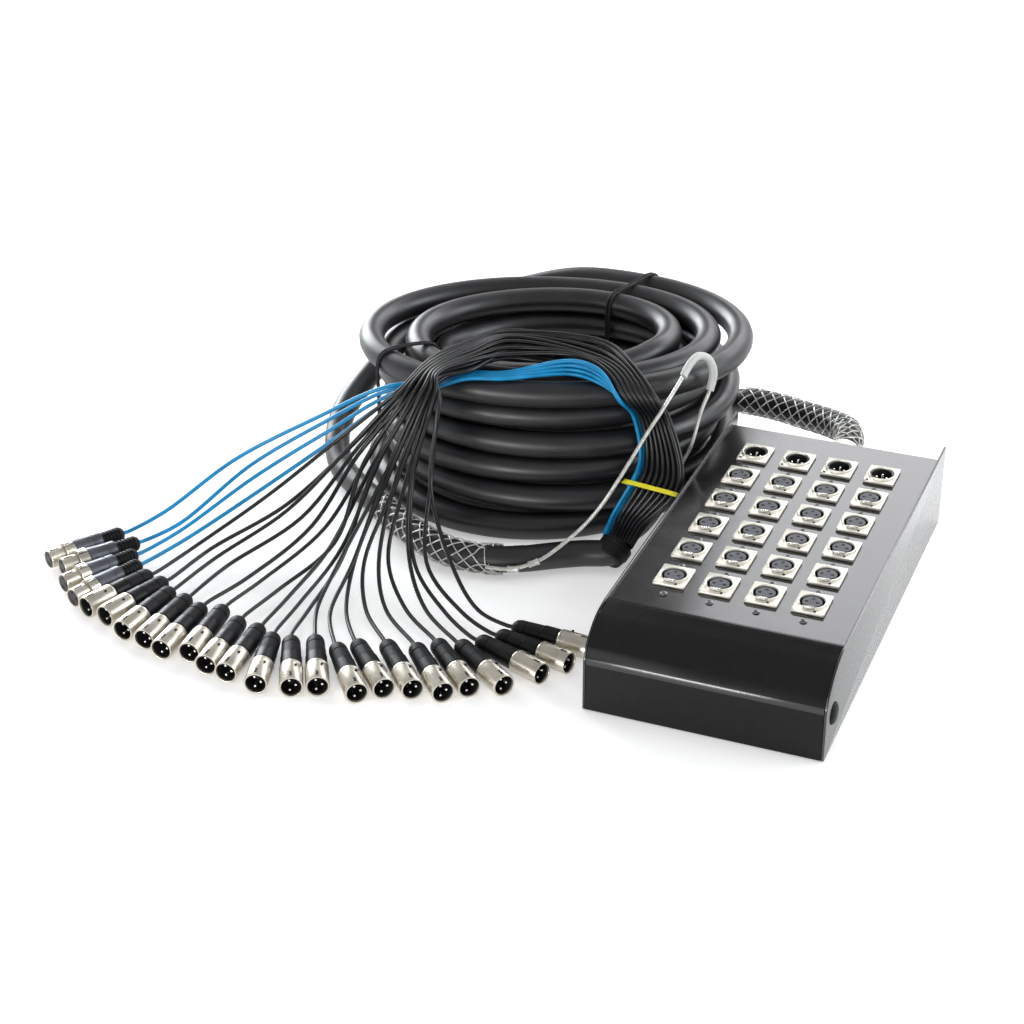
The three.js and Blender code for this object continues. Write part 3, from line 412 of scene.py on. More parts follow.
def seal(form):
    """Smooth faces that point outwards, with sharp edges where they turn sharply."""
    bmesh.ops.recalc_face_normals(form, faces=form.faces)
    for face in form.faces:
        face.smooth = True
    for edge in form.edges:
        edge.smooth = not (edge.is_manifold and edge.calc_face_angle(0) > SHARP)
    return form


def spun(profile, steps=40):
    """A turned form about Z from (radius, level) points in millimetres."""
    form = bmesh.new()
    verts = [form.verts.new((radius * MM, 0, level * MM)) for radius, level in profile]
    edges = [form.edges.new(pair) for pair in zip(verts, verts[1:])]
    bmesh.ops.spin(form, geom=verts + edges, axis=UP, cent=(0, 0, 0), angle=TAU, steps=steps, use_merge=True)
    bmesh.ops.remove_doubles(form, verts=form.verts, dist=MERGE)
    return seal(form)


def bevelled(form, width, segments=2):
    edges = [edge for edge in form.edges if edge.is_manifold and edge.calc_face_angle(0) > BEVEL_FROM]
    bmesh.ops.bevel(
        form, geom=edges, offset=width * MM, segments=segments, profile=0.5, affect="EDGES", material=-1
    )
    return form


def slab(low, high, width=0.3, segments=2):
    """A block from corner to corner in millimetres with its edges rounded off."""
    form = bmesh.new()
    bmesh.ops.create_cube(form, size=1)
    low, high = Vector(low) * MM, Vector(high) * MM
    bmesh.ops.scale(form, vec=high - low, verts=form.verts)
    bmesh.ops.translate(form, vec=(low + high) / 2, verts=form.verts)
    return seal(bevelled(form, width, segments) if width else form)


def profiled(outline, low, high, corners=(), width=0.4):
    """An outline of (y, z) points in millimetres, carried along X, its corner vertices rounded."""
    form = bmesh.new()
    verts = [form.verts.new((low * MM, y * MM, z * MM)) for y, z in outline]
    form.faces.new(verts)
    for index, radius in corners:
        bmesh.ops.bevel(
            form, geom=[verts[index]], offset=radius * MM, segments=4, profile=0.5, affect="VERTICES",
            material=-1,
        )
    face = next(iter(form.faces))
    grown = bmesh.ops.extrude_face_region(form, geom=[face])
    far = [item for item in grown["geom"] if isinstance(item, bmesh.types.BMVert)]
    bmesh.ops.translate(form, vec=((high - low) * MM, 0, 0), verts=far)
    bmesh.ops.recalc_face_normals(form, faces=form.faces)
    return seal(bevelled(form, width) if width else form)


class Piece:
    """Forms with their finishes, gathered into one mesh object."""

    def __init__(self, name):
        self.name = name
        self.mesh = bpy.data.meshes.new(name)
        self.whole = bmesh.new()

    def add(self, form, coat, matrix=None):
        if coat not in self.mesh.materials:
            self.mesh.materials.append(finish(coat))
        slot = self.mesh.materials.find(coat)
        for face in form.faces:
            face.material_index = slot
        passing = bpy.data.meshes.new("passing")
        form.to_mesh(passing)
        form.free()
        if matrix:
            passing.transform(matrix)
        self.whole.from_mesh(passing)
        bpy.data.meshes.remove(passing)

    def template(self):
        self.whole.to_mesh(self.mesh)
        self.whole.free()
        return self.mesh

    def made(self):
        return show(self.name, self.template())


def show(name, data):
    piece = bpy.data.objects.new(name, data)
    bpy.context.scene.collection.objects.link(piece)
    return piece


def copied(name, template, matrix):
    mesh = template.copy()
    mesh.name = name
    mesh.transform(matrix)
    return show(name, mesh)


def settle(piece, body, slot, *nodes):
    """The piece rides on its body and stands for its CAD nodes, which are hidden; its slot is not used."""
    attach(piece, body)
    if nodes:
        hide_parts(*nodes)
    return piece


def cut(target, form):
    """Takes a closed form out of a closed mesh and gives the mesh that is left."""
    cutter = Piece("cutter")
    cutter.add(form, target.materials[0].name)
    holder, knife = show("holder", target), cutter.made()
    tool = holder.modifiers.new("cut", "BOOLEAN")
    tool.object = knife
    tool.solver = "EXACT"
    bpy.context.view_layer.update()
    result = bpy.data.meshes.new_from_object(holder.evaluated_get(bpy.context.evaluated_depsgraph_get()))
    bpy.data.objects.remove(holder)
    bpy.data.objects.remove(knife)
    return result


def carved(form, coat, *knives):
    """The mesh of a closed form with others cut out of it, one after another."""
    block = Piece("block")
    block.add(form, coat)
    mesh = block.template()
    for knife in knives:
        mesh = cut(mesh, knife)
    return mesh


def form_of(mesh):
    form = bmesh.new()
    form.from_mesh(mesh)
    return seal(form)


# Routes


def handles(points):
    """Bezier handles that give the centripetal curve through the points."""
    padded = [2 * points[0] - points[1], *points, 2 * points[-1] - points[-2]]
    spans = [max((b - a).length ** 0.5, 1e-6) for a, b in zip(padded, padded[1:])]
    before, after = [points[0].copy()], []
    for i in range(1, len(points)):
        a, b, c, d = padded[i - 1 : i + 3]
        s, t, u = spans[i - 1 : i + 2]
        leaving = ((b - a) / s - (c - a) / (s + t) + (c - b) / t) * t
        coming = ((c - b) / t - (d - b) / (t + u) + (d - c) / u) * t
        after.append(b + leaving / 3)
        before.append(c - coming / 3)
    after.append(points[-1].copy())
    return before, after


class Line:
    """A smooth route sampled closely, with a frame that turns along with it."""

    def __init__(self, points, fineness=16):
        before, after = handles(points)
        self.points = []
        for i in range(len(points) - 1):
            knots = points[i], after[i], before[i + 1], points[i + 1]
            self.points += geometry.interpolate_bezier(*knots, fineness + 1)[:-1]
        self.points.append(points[-1].copy())
        self.lengths = [0.0]
        for a, b in zip(self.points, self.points[1:]):
            self.lengths.append(self.lengths[-1] + (b - a).length)
        self.length = self.lengths[-1]
        self.aheads = []
        for i in range(len(self.points)):
            ahead = self.points[min(i + 1, len(self.points) - 1)] - self.points[max(i - 1, 0)]
            self.aheads.append(ahead.normalized())
        side = self.aheads[0].cross(UP).normalized()
        self.sides = [side]
        for ahead in self.aheads[1:]:
            side = (side - ahead * side.dot(ahead)).normalized()
            self.sides.append(side)

    def at(self, distance):
        """The point at a distance along the line, with the directions ahead and aside."""
        distance = min(max(distance, 0), self.length)
        high = min(bisect_right(self.lengths, distance), len(self.lengths) - 1)
        low = high - 1
        share = (distance - self.lengths[low]) / (self.lengths[high] - self.lengths[low])
        ahead = self.aheads[low].lerp(self.aheads[high], share).normalized()
        side = self.sides[low].lerp(self.sides[high], share)
        return self.points[low].lerp(self.points[high], share), ahead, side

    def beside(self, distance, radius, angle):
        """A point at a radius and an angle about the line; the angle starts at its side and turns upwards."""
        point, ahead, side = self.at(distance)
        return point + radius * (math.cos(angle) * side + math.sin(angle) * side.cross(ahead))


def curve_data(name, radius, sides, coat):
    curve = bpy.data.curves.new(name, "CURVE")
    curve.dimensions = "3D"
    curve.bevel_depth = radius
    curve.bevel_resolution = sides
    curve.use_fill_caps = True
    curve.materials.append(finish(coat))
    return curve


def smooth_cord(name, points, radius, coat, fineness, sides):
    """A cord on one smooth open spline through points in metres."""
    curve = curve_data(name, radius, sides, coat)
    curve.resolution_u = fineness
    spline = curve.splines.new("BEZIER")
    spline.bezier_points.add(len(points) - 1)
    before, after = handles(points)
    for knot, point, left, right in zip(spline.bezier_points, points, before, after):
        knot.handle_left_type = knot.handle_right_type = "FREE"
        knot.co, knot.handle_left, knot.handle_right = point, left, right
    return show(name, curve)


def wires(name, paths, radius, coat, sides=1, closed=False):
    """Thin wires, each along its own close points in metres."""
    curve = curve_data(name, radius, sides, coat)
    for path in paths:
        spline = curve.splines.new("POLY")
        spline.points.add(len(path) - 1)
        spline.use_cyclic_u = closed
        for knot, point in zip(spline.points, path):
            knot.co = (*point, 1)
    return show(name, curve)


def swept(name, path, outline, coat, closed=False):
    """A mesh of an outline, in millimetres, carried along points in metres."""
    rim = bpy.data.curves.new(f"{name}_rim", "CURVE")
    rim.dimensions = "2D"
    edge = rim.splines.new("POLY")
    edge.points.add(len(outline) - 1)
    edge.use_cyclic_u = True
    for knot, (x, y) in zip(edge.points, outline):
        knot.co = (x * MM, y * MM, 0, 1)
    profile = show(f"{name}_rim", rim)
    guide = wires(f"{name}_guide", [path], 0, coat, closed=closed)
    guide.data.bevel_mode = "OBJECT"
    guide.data.bevel_object = profile
    guide.data.twist_mode = "MINIMUM"
    bpy.context.view_layer.update()
    mesh = bpy.data.meshes.new_from_object(guide.evaluated_get(bpy.context.evaluated_depsgraph_get()))
    bpy.data.objects.remove(guide)
    bpy.data.objects.remove(profile)
    form = bmesh.new()
    form.from_mesh(mesh)
    bmesh.ops.remove_doubles(form, verts=form.verts, dist=MERGE)
    piece = Piece(name)
    piece.add(seal(form), coat)
    bpy.data.meshes.remove(mesh)
    return piece.made()


def metres(point):
    return Vector(point) * MM


def moved(point):
    """The move to a point in millimetres."""
    return Matrix.Translation(metres(point))


def turned(side, ahead):
    """The turn that takes X to the side and Z ahead."""
    return Matrix((side, ahead.cross(side), ahead)).transposed().to_4x4()


def smoothstep(value, low, high):
    share = min(max((value - low) / (high - low), 0), 1)
    return share * share * (3 - 2 * share)


def stepped_turns(turns_in, step_shares):
    whole = math.floor(turns_in)
    if whole >= len(step_shares):
        return turns_in
    return whole + smoothstep(turns_in - whole, *step_shares[whole])


def inward_turns(layer, turns_in):
    """Turns from the outer ring inwards; the outer rings of the first and last layer keep their radius."""
    if layer == 0:
        return stepped_turns(turns_in, FIRST_STEP_SHARES)
    if layer < COIL_LAYERS - 1:
        return turns_in
    slack = smoothstep(turns_in, 0, SLACK_START_SHARE) * (1 - smoothstep(turns_in, 2, TURNS_PER_LAYER))
    return stepped_turns(turns_in, LAST_STEP_SHARES) + LAST_SLACK_SHARE * slack


def coil_point(turns):
    layer = min(int(turns // TURNS_PER_LAYER), COIL_LAYERS - 1)
    within = turns - layer * TURNS_PER_LAYER
    turns_in = inward_turns(layer, within if layer % 2 == 0 else TURNS_PER_LAYER - within)
    nearest = min(max(math.floor(turns / TURNS_PER_LAYER + 0.5), 1), COIL_LAYERS - 1)
    climb = min(max((turns - nearest * TURNS_PER_LAYER) / CLIMB_SHARE + 0.5, 0), 1)
    level = nearest - 1 + climb
    angle = COIL_START + TAU * turns
    wider = LAST_RING_WIDER * (1 - smoothstep(turns_in, *WIDER_SHARES)) if layer == COIL_LAYERS - 1 else 0
    spread = 1 + FRONT_SPREAD_SHARE * (1 - level / (COIL_LAYERS - 1)) if math.sin(angle) < 0 else 1
    along = (COIL_RADII[0] + wider - COIL_PITCHES[0] * turns_in) * math.cos(angle)
    across = spread * (COIL_RADII[1] - COIL_PITCHES[1] * turns_in) * math.sin(angle)
    return metres((
        COIL_CENTRE[0] + along * math.cos(COIL_TURN) - across * math.sin(COIL_TURN),
        COIL_CENTRE[1] + along * math.sin(COIL_TURN) + across * math.cos(COIL_TURN),
        TRUNK_RADIUS + COIL_LAYER_PITCH * level,
    ))


def coil_points():
    count = round(COIL_LAYERS * TURNS_PER_LAYER * POINTS_PER_TURN)
    return [coil_point(i / POINTS_PER_TURN) for i in range(count + 1)]


def lead_points():
    return [metres(point) for point in LEAD_POINTS]


def end_points():
    last = [BOOT_MOUTH - BOOT_AHEAD * BOOT_LENGTH / 2, BOOT_MOUTH - BOOT_AHEAD * TRUNK_SHORT_OF_MOUTH]
    return [metres(point) for point in (*END_POINTS, *last)]


def coil_steps(turns):
    """Two points of the coil with the spacing of the frame's own coil, for the ends of the routes."""
    spacing = 1 / 16
    return coil_point(turns), coil_point(turns + spacing if turns == 0 else turns - spacing)


def lead_line():
    first, second = coil_steps(0)
    start = first + (first - second).normalized() * 2 * TRUNK_RADIUS * MM
    back = (start - first).normalized()
    return Line([*lead_points(), start + back * TRUNK_RADIUS * MM, start + back * CLEARANCE * MM])


def end_line():
    last, previous = coil_steps(COIL_LAYERS * TURNS_PER_LAYER)
    ahead = (last - previous).normalized()
    end = last + ahead * 2 * TRUNK_RADIUS * MM
    return Line([end + ahead * CLEARANCE * MM, end + ahead * TRUNK_RADIUS * MM, *end_points()])


def station_middle(index):
    near, far, _ = STATIONS[min(max(index, 0), len(STATIONS) - 1)]
    return (Vector(near) + Vector(far)) / 2


def station_frame(index):
    ahead = (station_middle(index + 1) - station_middle(index - 1)).normalized()
    if index == 0:
        ahead = BOOT_AHEAD
    across = (Vector(STATIONS[index][1]) - Vector(STATIONS[index][0])).normalized()
    return ahead, across, across.cross(ahead).normalized()


def stray_share(slot, index, pace):
    """How far a black tail strays at a point of its route, different from tail to tail and point to point."""
    column, layer = slot
    return (1 + math.sin(pace * (BUNDLE_LAYERS * column + layer) + STRAY_PACES[2] * index)) / 2


def black_station_point(index, slot):
    column, layer = slot
    near, far, _ = STATIONS[index]
    _, across, outward = station_frame(index)
    point = Vector(near).lerp(Vector(far), column / (BUNDLE_COLUMNS - 1)) + outward * layer * BUNDLE_PITCH
    if index in LOOSE_STATIONS:
        point += across * LOOSE_ACROSS * stray_share(slot, index, STRAY_PACES[0])
        point += outward * LOOSE_OUTWARD * stray_share(slot, index, STRAY_PACES[1])
    return point


def blue_station_point(index, slot):
    near, _, row = STATIONS[index]
    last = len(BLUE_TAILS) - 1
    if row:
        return Vector(row[0]).lerp(Vector(row[1]), slot / last)
    _, across, outward = station_frame(index)
    return Vector(near) - across * BLUE_PITCH + outward * (slot - last / 2) * BUNDLE_PITCH


def own_points(slot, points):
    """A tail's own points, where the black tails hang a little to one side."""
    for index, (x, y, z) in enumerate(points):
        if isinstance(slot, tuple) and index in LOOSE_POINTS:
            aside = [LOOSE_SIDEWAYS * (2 * stray_share(slot, index, pace) - 1) for pace in STRAY_PACES[:2]]
            yield x + aside[0], y + aside[1], z
        else:
            yield x, y, z


def tail_points(tail, station_point):
    slot, own, boot, heading = tail
    angle = math.radians(heading)
    ahead = Vector((math.cos(angle), math.sin(angle), 0))
    end = Vector((*boot, PLUG_RADIUS)) - ahead * CLEARANCE
    shared = [station_point(index, slot) for index in range(len(STATIONS))]
    last = (end - ahead * STRAIGHT, end, end + ahead * IN_BOOT)
    return [metres(point) for point in (*shared, *own_points(slot, own), *last)]


def plug_matrix(tail):
    _, _, boot, heading = tail
    place = moved((*boot, PLUG_RADIUS))
    return place @ Matrix.Rotation(math.radians(heading), 4, "Z") @ Matrix.Rotation(math.pi / 2, 4, "Y")


def connector_places():
    for row in range(ROWS):
        for column in range(COLUMNS):
            x = (column - (COLUMNS - 1) / 2) * COLUMN_PITCH
            y = ROWS_MIDDLE_Y + (row - (ROWS - 1) / 2) * ROW_PITCH
            yield row, column, moved((x, y, PANEL_TOP))


# Camera and cords


def woven(name, line, start, end, gather_start, gather_end):
    """Wires woven round a line, both ways, that draw together into bunches at either end."""
    paths = []
    steps = max(12, round((end - start) / (WEAVE_STEP * MM)))
    for way in (-1, 1):
        for wire in range(WEAVE_WIRES):
            path = []
            for step in range(steps + 1):
                distance = start + (end - start) * step / steps
                lay = TAU * (distance - start) / (WEAVE_LAY * MM)
                angle = TAU * wire / WEAVE_WIRES + way * lay
                radius = WEAVE_RADIUS + WEAVE_RISE * way * math.cos(WEAVE_WIRES * lay)
                for left, bunches in ((distance - start, gather_start), (end - distance, gather_end)):
                    if bunches:
                        share = 1 - smoothstep(left, 0, BUNCH_REACH * MM)
                        goal = min(bunches, key=lambda bunch: abs(math.remainder(bunch - angle, TAU)))
                        angle += math.remainder(goal - angle, TAU) * share * BUNCH_PULL
                        radius += BUNCH_RISE * share
                path.append(line.beside(distance, radius * MM, angle))
            paths.append(path)
    return wires(name, paths, sizes().wire / 2, "zinc_wire")


class SNAKE_OT_camera(bpy.types.Operator):
    """Sets the camera at the picture's viewing angle"""

    bl_idname = "snake.camera"
    bl_label = "Camera"

    def execute(self, context):
        yaw, pitch, roll = CAMERA_ANGLES
        ahead = Vector((-math.sin(yaw) * math.cos(pitch), math.cos(yaw) * math.cos(pitch), -math.sin(pitch)))
        right = Vector((math.cos(yaw), math.sin(yaw), 0))
        right = math.cos(roll) * right + math.sin(roll) * right.cross(ahead)
        lens = bpy.data.cameras.new("picture_camera")
        lens.sensor_width = 36
        lens.lens = CAMERA_LENS
        lens.clip_start = 0.05
        camera = show("picture_camera", lens)
        camera.matrix_world = Matrix.Translation(CAMERA_PLACE) @ turned(right, -ahead)
        context.scene.camera = camera
        return {"FINISHED"}


class SNAKE_OT_trunk(bpy.types.Operator):
    """Makes the trunk with its coil, its woven grips and the boot where the tails leave it"""

    bl_idname = "snake.trunk"
    bl_label = "Trunk"

    def execute(self, context):
        points = [*lead_points(), *coil_points(), *end_points()]
        trunk = smooth_cord("trunk_cable", points, sizes().trunk / 2, "trunk_jacket", 5, 6)
        settle(trunk, ROOT, "cable_black", "trunk_lead", "trunk_coil", "trunk_end")
        boot = Piece("fan_out_boot")
        back, middle = -BOOT_LENGTH, -BOOT_LENGTH / 2
        profile = (
            (0, back), (TRUNK_RADIUS + 0.3, back), (12.4, back + 1), (13.9, middle - 1), (14.5, middle),
            (14.5, middle + 2), (14.1, middle + 2.4), (14.1, middle + 2.9), (14.5, middle + 3.3),
            (14.5, -0.8), (13.9, -0.2), (13, -0.2), (12.6, -1.4), (0, -1.4),
        )
        turn = turned(UP.cross(BOOT_AHEAD).normalized(), BOOT_AHEAD)
        boot.add(spun(profile, 48), "boot_rubber", moved(BOOT_MOUTH) @ turn)
        boot = settle(boot.made(), ROOT, "cable_black", "trunk_end")
        lead, end = lead_line(), end_line()
        start, stop = (lead.length * share for share in REAR_SHARES)
        rear = woven("rear_woven_grip", lead, start - UNDER_GLAND_CAP * MM, stop, REAR_BUNCHES, ())
        settle(rear, ROOT, "wire_rope", "rear_cord_grip")
        start, stop = (end.length * share for share in FRONT_SHARES)
        front = woven("front_woven_sleeve", end, start, stop, (), FRONT_BUNCHES)
        settle(front, ROOT, "wire_rope", "front_pulling_grip")
        round(Line(points).length, 2)
        return {"FINISHED"}


def pin_holes(piece, level):
    """Three pin holes as thin near-black discs: painted shade inside the holes."""
    for x, y in PIN_PLACES:
        hole = spun(((0, 0.08), (1.5, 0.08), (1.5, -0.4), (0, -0.4)), 20)
        piece.add(hole, "well_black", moved((x, y, level)))


def pins(piece, low, high, matrix=None):
    for x, y in PIN_PLACES:
        place = (matrix or Matrix()) @ moved((x, y, 0))
        tip = ((0, low), (1.2, low), (1.2, high - 0.9), (0.85, high - 0.3), (0, high))
        piece.add(spun(tip, 16), "contact_silver", place)


def male_plug():
    """A male cable plug along Z from the end of its boot, its upper side towards -X."""
    plug = Piece("male_plug")
    boot = (
        (0, 0), (4.1, 0), (4.6, 0.4), (5.6, 1.4), (6.8, 3.2), (7.5, 5.6), (7.7, 9), (7.7, 12), (7.2, 12.4),
        (7.2, 13.2), (7.8, 13.6), (8, 20), (8.1, 26.6), (7.6, 27), (0, 27),
    )
    plug.add(spun(boot), "boot_rubber")
    collar = spun(((0, 27), (8.2, 27), (8.7, 27.6), (8.7, 40.6), (8.2, 41.2), (8.2, 42.4), (0, 42.4)), 12)
    plug.add(collar, "collar_plastic")
    shell = (
        (0, 42.4), (8.7, 42.4), (9.2, 42.8), (9.5, 43.6), (9.5, 45), (9.25, 45.3), (9.25, 46), (9.5, 46.3),
        (9.5, 69.3), (9.2, 69.9), (8.6, 70), (8.1, 69.8), (7.9, 69.3), (7.9, 68),
    )
    lining = ((7.9, 68), (7.8, 67.9), (7.8, 54), (0, 54))
    plug.add(spun(shell, 48), "plug_nickel")
    plug.add(spun(lining, 48), "black_plastic")
    pins(plug, 54, 67)
    # Near-black marks on the shell for a slot and a small recess: painted shade.
    plug.add(slab((-9.58, -0.9, 61), (-9.2, 0.9, 67.5), 0.12), "well_black")
    plug.add(slab((-9.62, 3.2, 50.5), (-8.3, 5, 52.3), 0.12), "well_black")
    return plug.template()


def female_plug():
    """A female cable plug along Z from the end of its boot, its upper side towards -X."""
    plug = Piece("female_plug")
    ribs = [(0, 0), (4.2, 0), (5.2, 0.8), (6.4, 2.6), (6.8, 4)]
    for rib in range(5):
        start = 5 + 3.3 * rib
        ribs += [(6.8, start), (6.1, start + 0.4), (6.1, start + 1.2), (6.9, start + 1.6)]
    ribs += [(7, 22), (0, 22)]
    plug.add(spun(ribs), "boot_rubber")
    body = (
        (0, 22), (7.6, 22), (8.4, 22.6), (8.6, 24), (8.6, 30), (8.35, 30.3), (8.35, 31), (8.65, 31.3),
        (9.3, 44), (9.5, 45), (9.5, 48.2), (0, 48.2),
    )
    plug.add(spun(body, 48), "shell_lacquer")
    outline = (
        (0, 48.2), (9.2, 48.2), (9.5, 48.6), (9.5, 57.2), (9.1, 57.6), (7.2, 57.6), (7.2, 59), (7.8, 59),
        (8, 59.3), (8, 71.6), (7.7, 72), (7.2, 72), (7, 71.6), (7, 71.2), (0, 71.2),
    )
    aside, ahead, floor = 3.3, 4.3, 6.99
    low = (-PLUG_RADIUS - 5, -aside, LEVER_MIDDLE - ahead)
    pocket = slab(low, (-floor, aside, LEVER_MIDDLE + ahead), 0)
    plug.add(form_of(carved(spun(outline, 48), "plug_nickel", pocket)), "plug_nickel")
    plug.add(spun(((0, 71.2), (6.9, 71.2), (6.9, 71.35), (0, 71.35)), 40), "black_plastic")
    pin_holes(plug, 71.35)
    # Near-black mark for the key slot in the nose: painted shade.
    plug.add(slab((-8.1, -0.8, 62), (-7.7, 0.8, 70), 0.12), "well_black")
    return plug.template()


def plug_lever():
    """The release lever of a female cable plug, with three ridges for the thumb."""
    lever = Piece("plug_lever")
    top = PLUG_RADIUS + 1.2
    plate = slab((-top + 0.25, -3, LEVER_MIDDLE - 4), (-top + 2.4, 3, LEVER_MIDDLE + 4), 0.5, 3)
    lever.add(plate, "latch_steel")
    for shift in (-2.3, -0.6, 1.1):
        middle = LEVER_MIDDLE + shift
        ridge = slab((-top, -2.4, middle - 0.4), (-top + 0.8, 2.4, middle + 0.4), 0.2)
        lever.add(ridge, "latch_steel")
    return lever.template()


class SNAKE_OT_plugs(bpy.types.Operator):
    """Makes the cable plugs and their release levers"""

    bl_idname = "snake.plugs"
    bl_label = "Cable plugs"

    def execute(self, context):
        male, female, lever = male_plug(), female_plug(), plug_lever()
        for number, tail in enumerate(BLACK_TAILS, 1):
            plug = copied(f"male_cable_plug_{number}", male, plug_matrix(tail))
            settle(plug, ROOT, "nickel", f"male_plug_{number}")
        for number, tail in enumerate(BLUE_TAILS, 1):
            plug = copied(f"female_cable_plug_{number}", female, plug_matrix(tail))
            settle(plug, ROOT, "dark_shell", f"female_plug_{number}")
            node = f"female_plug_{number}_lever"
            thumb = copied(f"thumb_lever_{number}", lever, plug_matrix(tail))
            settle(thumb, f"{node}_body", "latch_metal", node)
        return {"FINISHED"}


class SNAKE_OT_tails(bpy.types.Operator):
    """Makes the black and the blue tails, each from the fan-out boot to its plug"""

    bl_idname = "snake.tails"
    bl_label = "Tails"

    def execute(self, context):
        blue_ends = ("female_cable_plug", "thumb_lever")
        sets = (
            ("black", BLACK_TAILS, black_station_point, "tail_jacket", "cable_black", ("male_cable_plug",)),
            ("blue", BLUE_TAILS, blue_station_point, "blue_jacket", "tail_blue", blue_ends),
        )
        for name, tails, station_point, jacket, slot, ends in sets:
            for number, tail in enumerate(tails, 1):
                points = tail_points(tail, station_point)
                cord = smooth_cord(f"{name}_tail_{number}", points, sizes().tail / 2, jacket, 8, 2)
                settle(cord, ROOT, slot, f"{name}_tails")
                riding = [f"{end}_{number}" for end in ends]
                if cord.name == "black_tail_1":
                    riding.append("yellow_band")
                round(Line(points).length, 3)
        return {"FINISHED"}


# Box


def nose_arc(inset=0, last=NOSE_STEPS):
    """Points of the rolled nose from the fold, where it leaves the front, to its top or an earlier step."""
    radius = NOSE_RADIUS - inset
    start = math.acos(-(NOSE_DEPTH - inset) / radius)
    yield FRONT_Y + inset, FOLD_LEVEL
    for step in range(FOLD_STEPS, last + 1):
        angle = start + (math.pi / 2 - start) * step / NOSE_STEPS
        yield NOSE_Y + radius * math.cos(angle), NOSE_LEVEL + radius * math.sin(angle)


class SNAKE_OT_box(bpy.types.Operator):
    """Makes the box: bent sheet, cheeks, panel ledges and bumpers"""

    bl_idname = "snake.box"
    bl_label = "Box"

    def execute(self, context):
        box = Piece("stage_box_shell")
        half = BOX_WIDTH / 2
        lip, seat = NOSE_Y + LIP_DEPTH, PANEL_TOP - SHEET - CLEARANCE
        outer = [(WALL_Y, seat), (WALL_Y, 0), (FRONT_Y, 0), *nose_arc(last=NOSE_STEPS - LIP_STEPS)]
        outer += [(NOSE_Y, BOX_HEIGHT - LIP_STEP), (NOSE_Y, BOX_HEIGHT), (lip, BOX_HEIGHT)]
        inner = [(lip, BOX_HEIGHT - SHEET), *reversed(list(nose_arc(SHEET)))]
        inner += [(FRONT_Y + SHEET, SHEET), (WALL_Y - SHEET, SHEET), (WALL_Y - SHEET, seat)]
        reach, bends = half - SHEET - SEAM, ((1, BEND), (2, BEND), (3, FOLD))
        wrap = profiled(outer + inner, -reach, reach, bends)
        box.add(wrap, "box_lacquer")
        rear = FRONT_Y + BOX_LENGTH
        cheek = [(rear, 0), (FRONT_Y, 0), *nose_arc(), (rear, BOX_HEIGHT)]
        for side in (-1, 1):
            low, high = sorted((side * half, side * (half - SHEET)))
            # The cheeks take the more reflective lacquer: painted sheen.
            box.add(profiled(cheek, low, high, ((1, BEND), (2, FOLD)), 0.5), "side_lacquer")
            low, high = sorted((side * (half - SHEET), side * (half - SHEET - LEDGE_WIDTH)))
            box.add(slab((low, lip, seat - SHEET), (high, WALL_Y, seat)), "box_lacquer")
            self.bumper(box, side)
        # Painted highlight: the fold below the nose takes the more reflective lacquer.
        self.paint_fold_highlight(box)
        settle(box.made(), ROOT, "black_sheet", "stage_box_chassis")
        return {"FINISHED"}

    @staticmethod
    def paint_fold_highlight(box):
        """Gives the bend below the nose a more reflective lacquer than the rest of the box: a painted
        highlight along the fold.
        """
        box.mesh.materials.append(finish("fold_lacquer"))
        slot = box.mesh.materials.find("fold_lacquer")
        for face in box.whole.faces:
            middle = face.calc_center_median() / MM
            if abs(middle.z - FOLD_LEVEL) < FOLD and middle.y < FRONT_Y + FOLD and abs(face.normal.x) < 0.5:
                face.material_index = slot

    @staticmethod
    def bumper(box, side):
        profile = (
            (0, -0.5), (9, -0.5), (9, 0.6), (8.6, 1.2), (8.1, 1.4), (7.8, 2), (6, 2.9), (3, 3.4), (0, 3.5)
        )
        place = moved((side * BOX_WIDTH / 2, FRONT_Y + BUMPER_FROM_FRONT, BUMPER_LEVEL))
        turn = Matrix.Rotation(side * math.pi / 2, 4, "Y")
        box.add(spun(profile, 40), "boot_rubber", place @ turn)


class SNAKE_OT_panel(bpy.types.Operator):
    """Gives the connector panel its lacquer and sets its screws"""

    bl_idname = "snake.panel"
    bl_label = "Connector panel"

    def execute(self, context):
        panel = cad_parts["connector_panel"]
        panel.data.materials.clear()
        panel.data.materials.append(finish("panel_lacquer"))
        radius = sizes().screw / MM
        dome = ((0, -0.2), (radius, -0.2), (radius, 0.2), (radius * 0.92, 0.8), (radius * 0.6, 1.3), (0, 1.5))
        along = slab((-SLOT_LENGTH, -SLOT_WIDTH, SLOT_FLOOR), (SLOT_LENGTH, SLOT_WIDTH, 3), 0)
        aside = slab((-SLOT_WIDTH, -SLOT_LENGTH, SLOT_FLOOR), (SLOT_WIDTH, SLOT_LENGTH, 3), 0)
        head = carved(spun(dome, 24), "screw_black", along, aside)
        screws = Piece("panel_screws")
        for row, column, place in connector_places():
            turn = Matrix.Rotation(SCREW_TURNS[0] * row + SCREW_TURNS[1] * column, 4, "Z")
            screws.add(form_of(head), "screw_black", place @ moved(SCREW_PLACE) @ turn)
        settle(screws.made(), ROOT, "black_sheet")
        return {"FINISHED"}


# Panel connectors


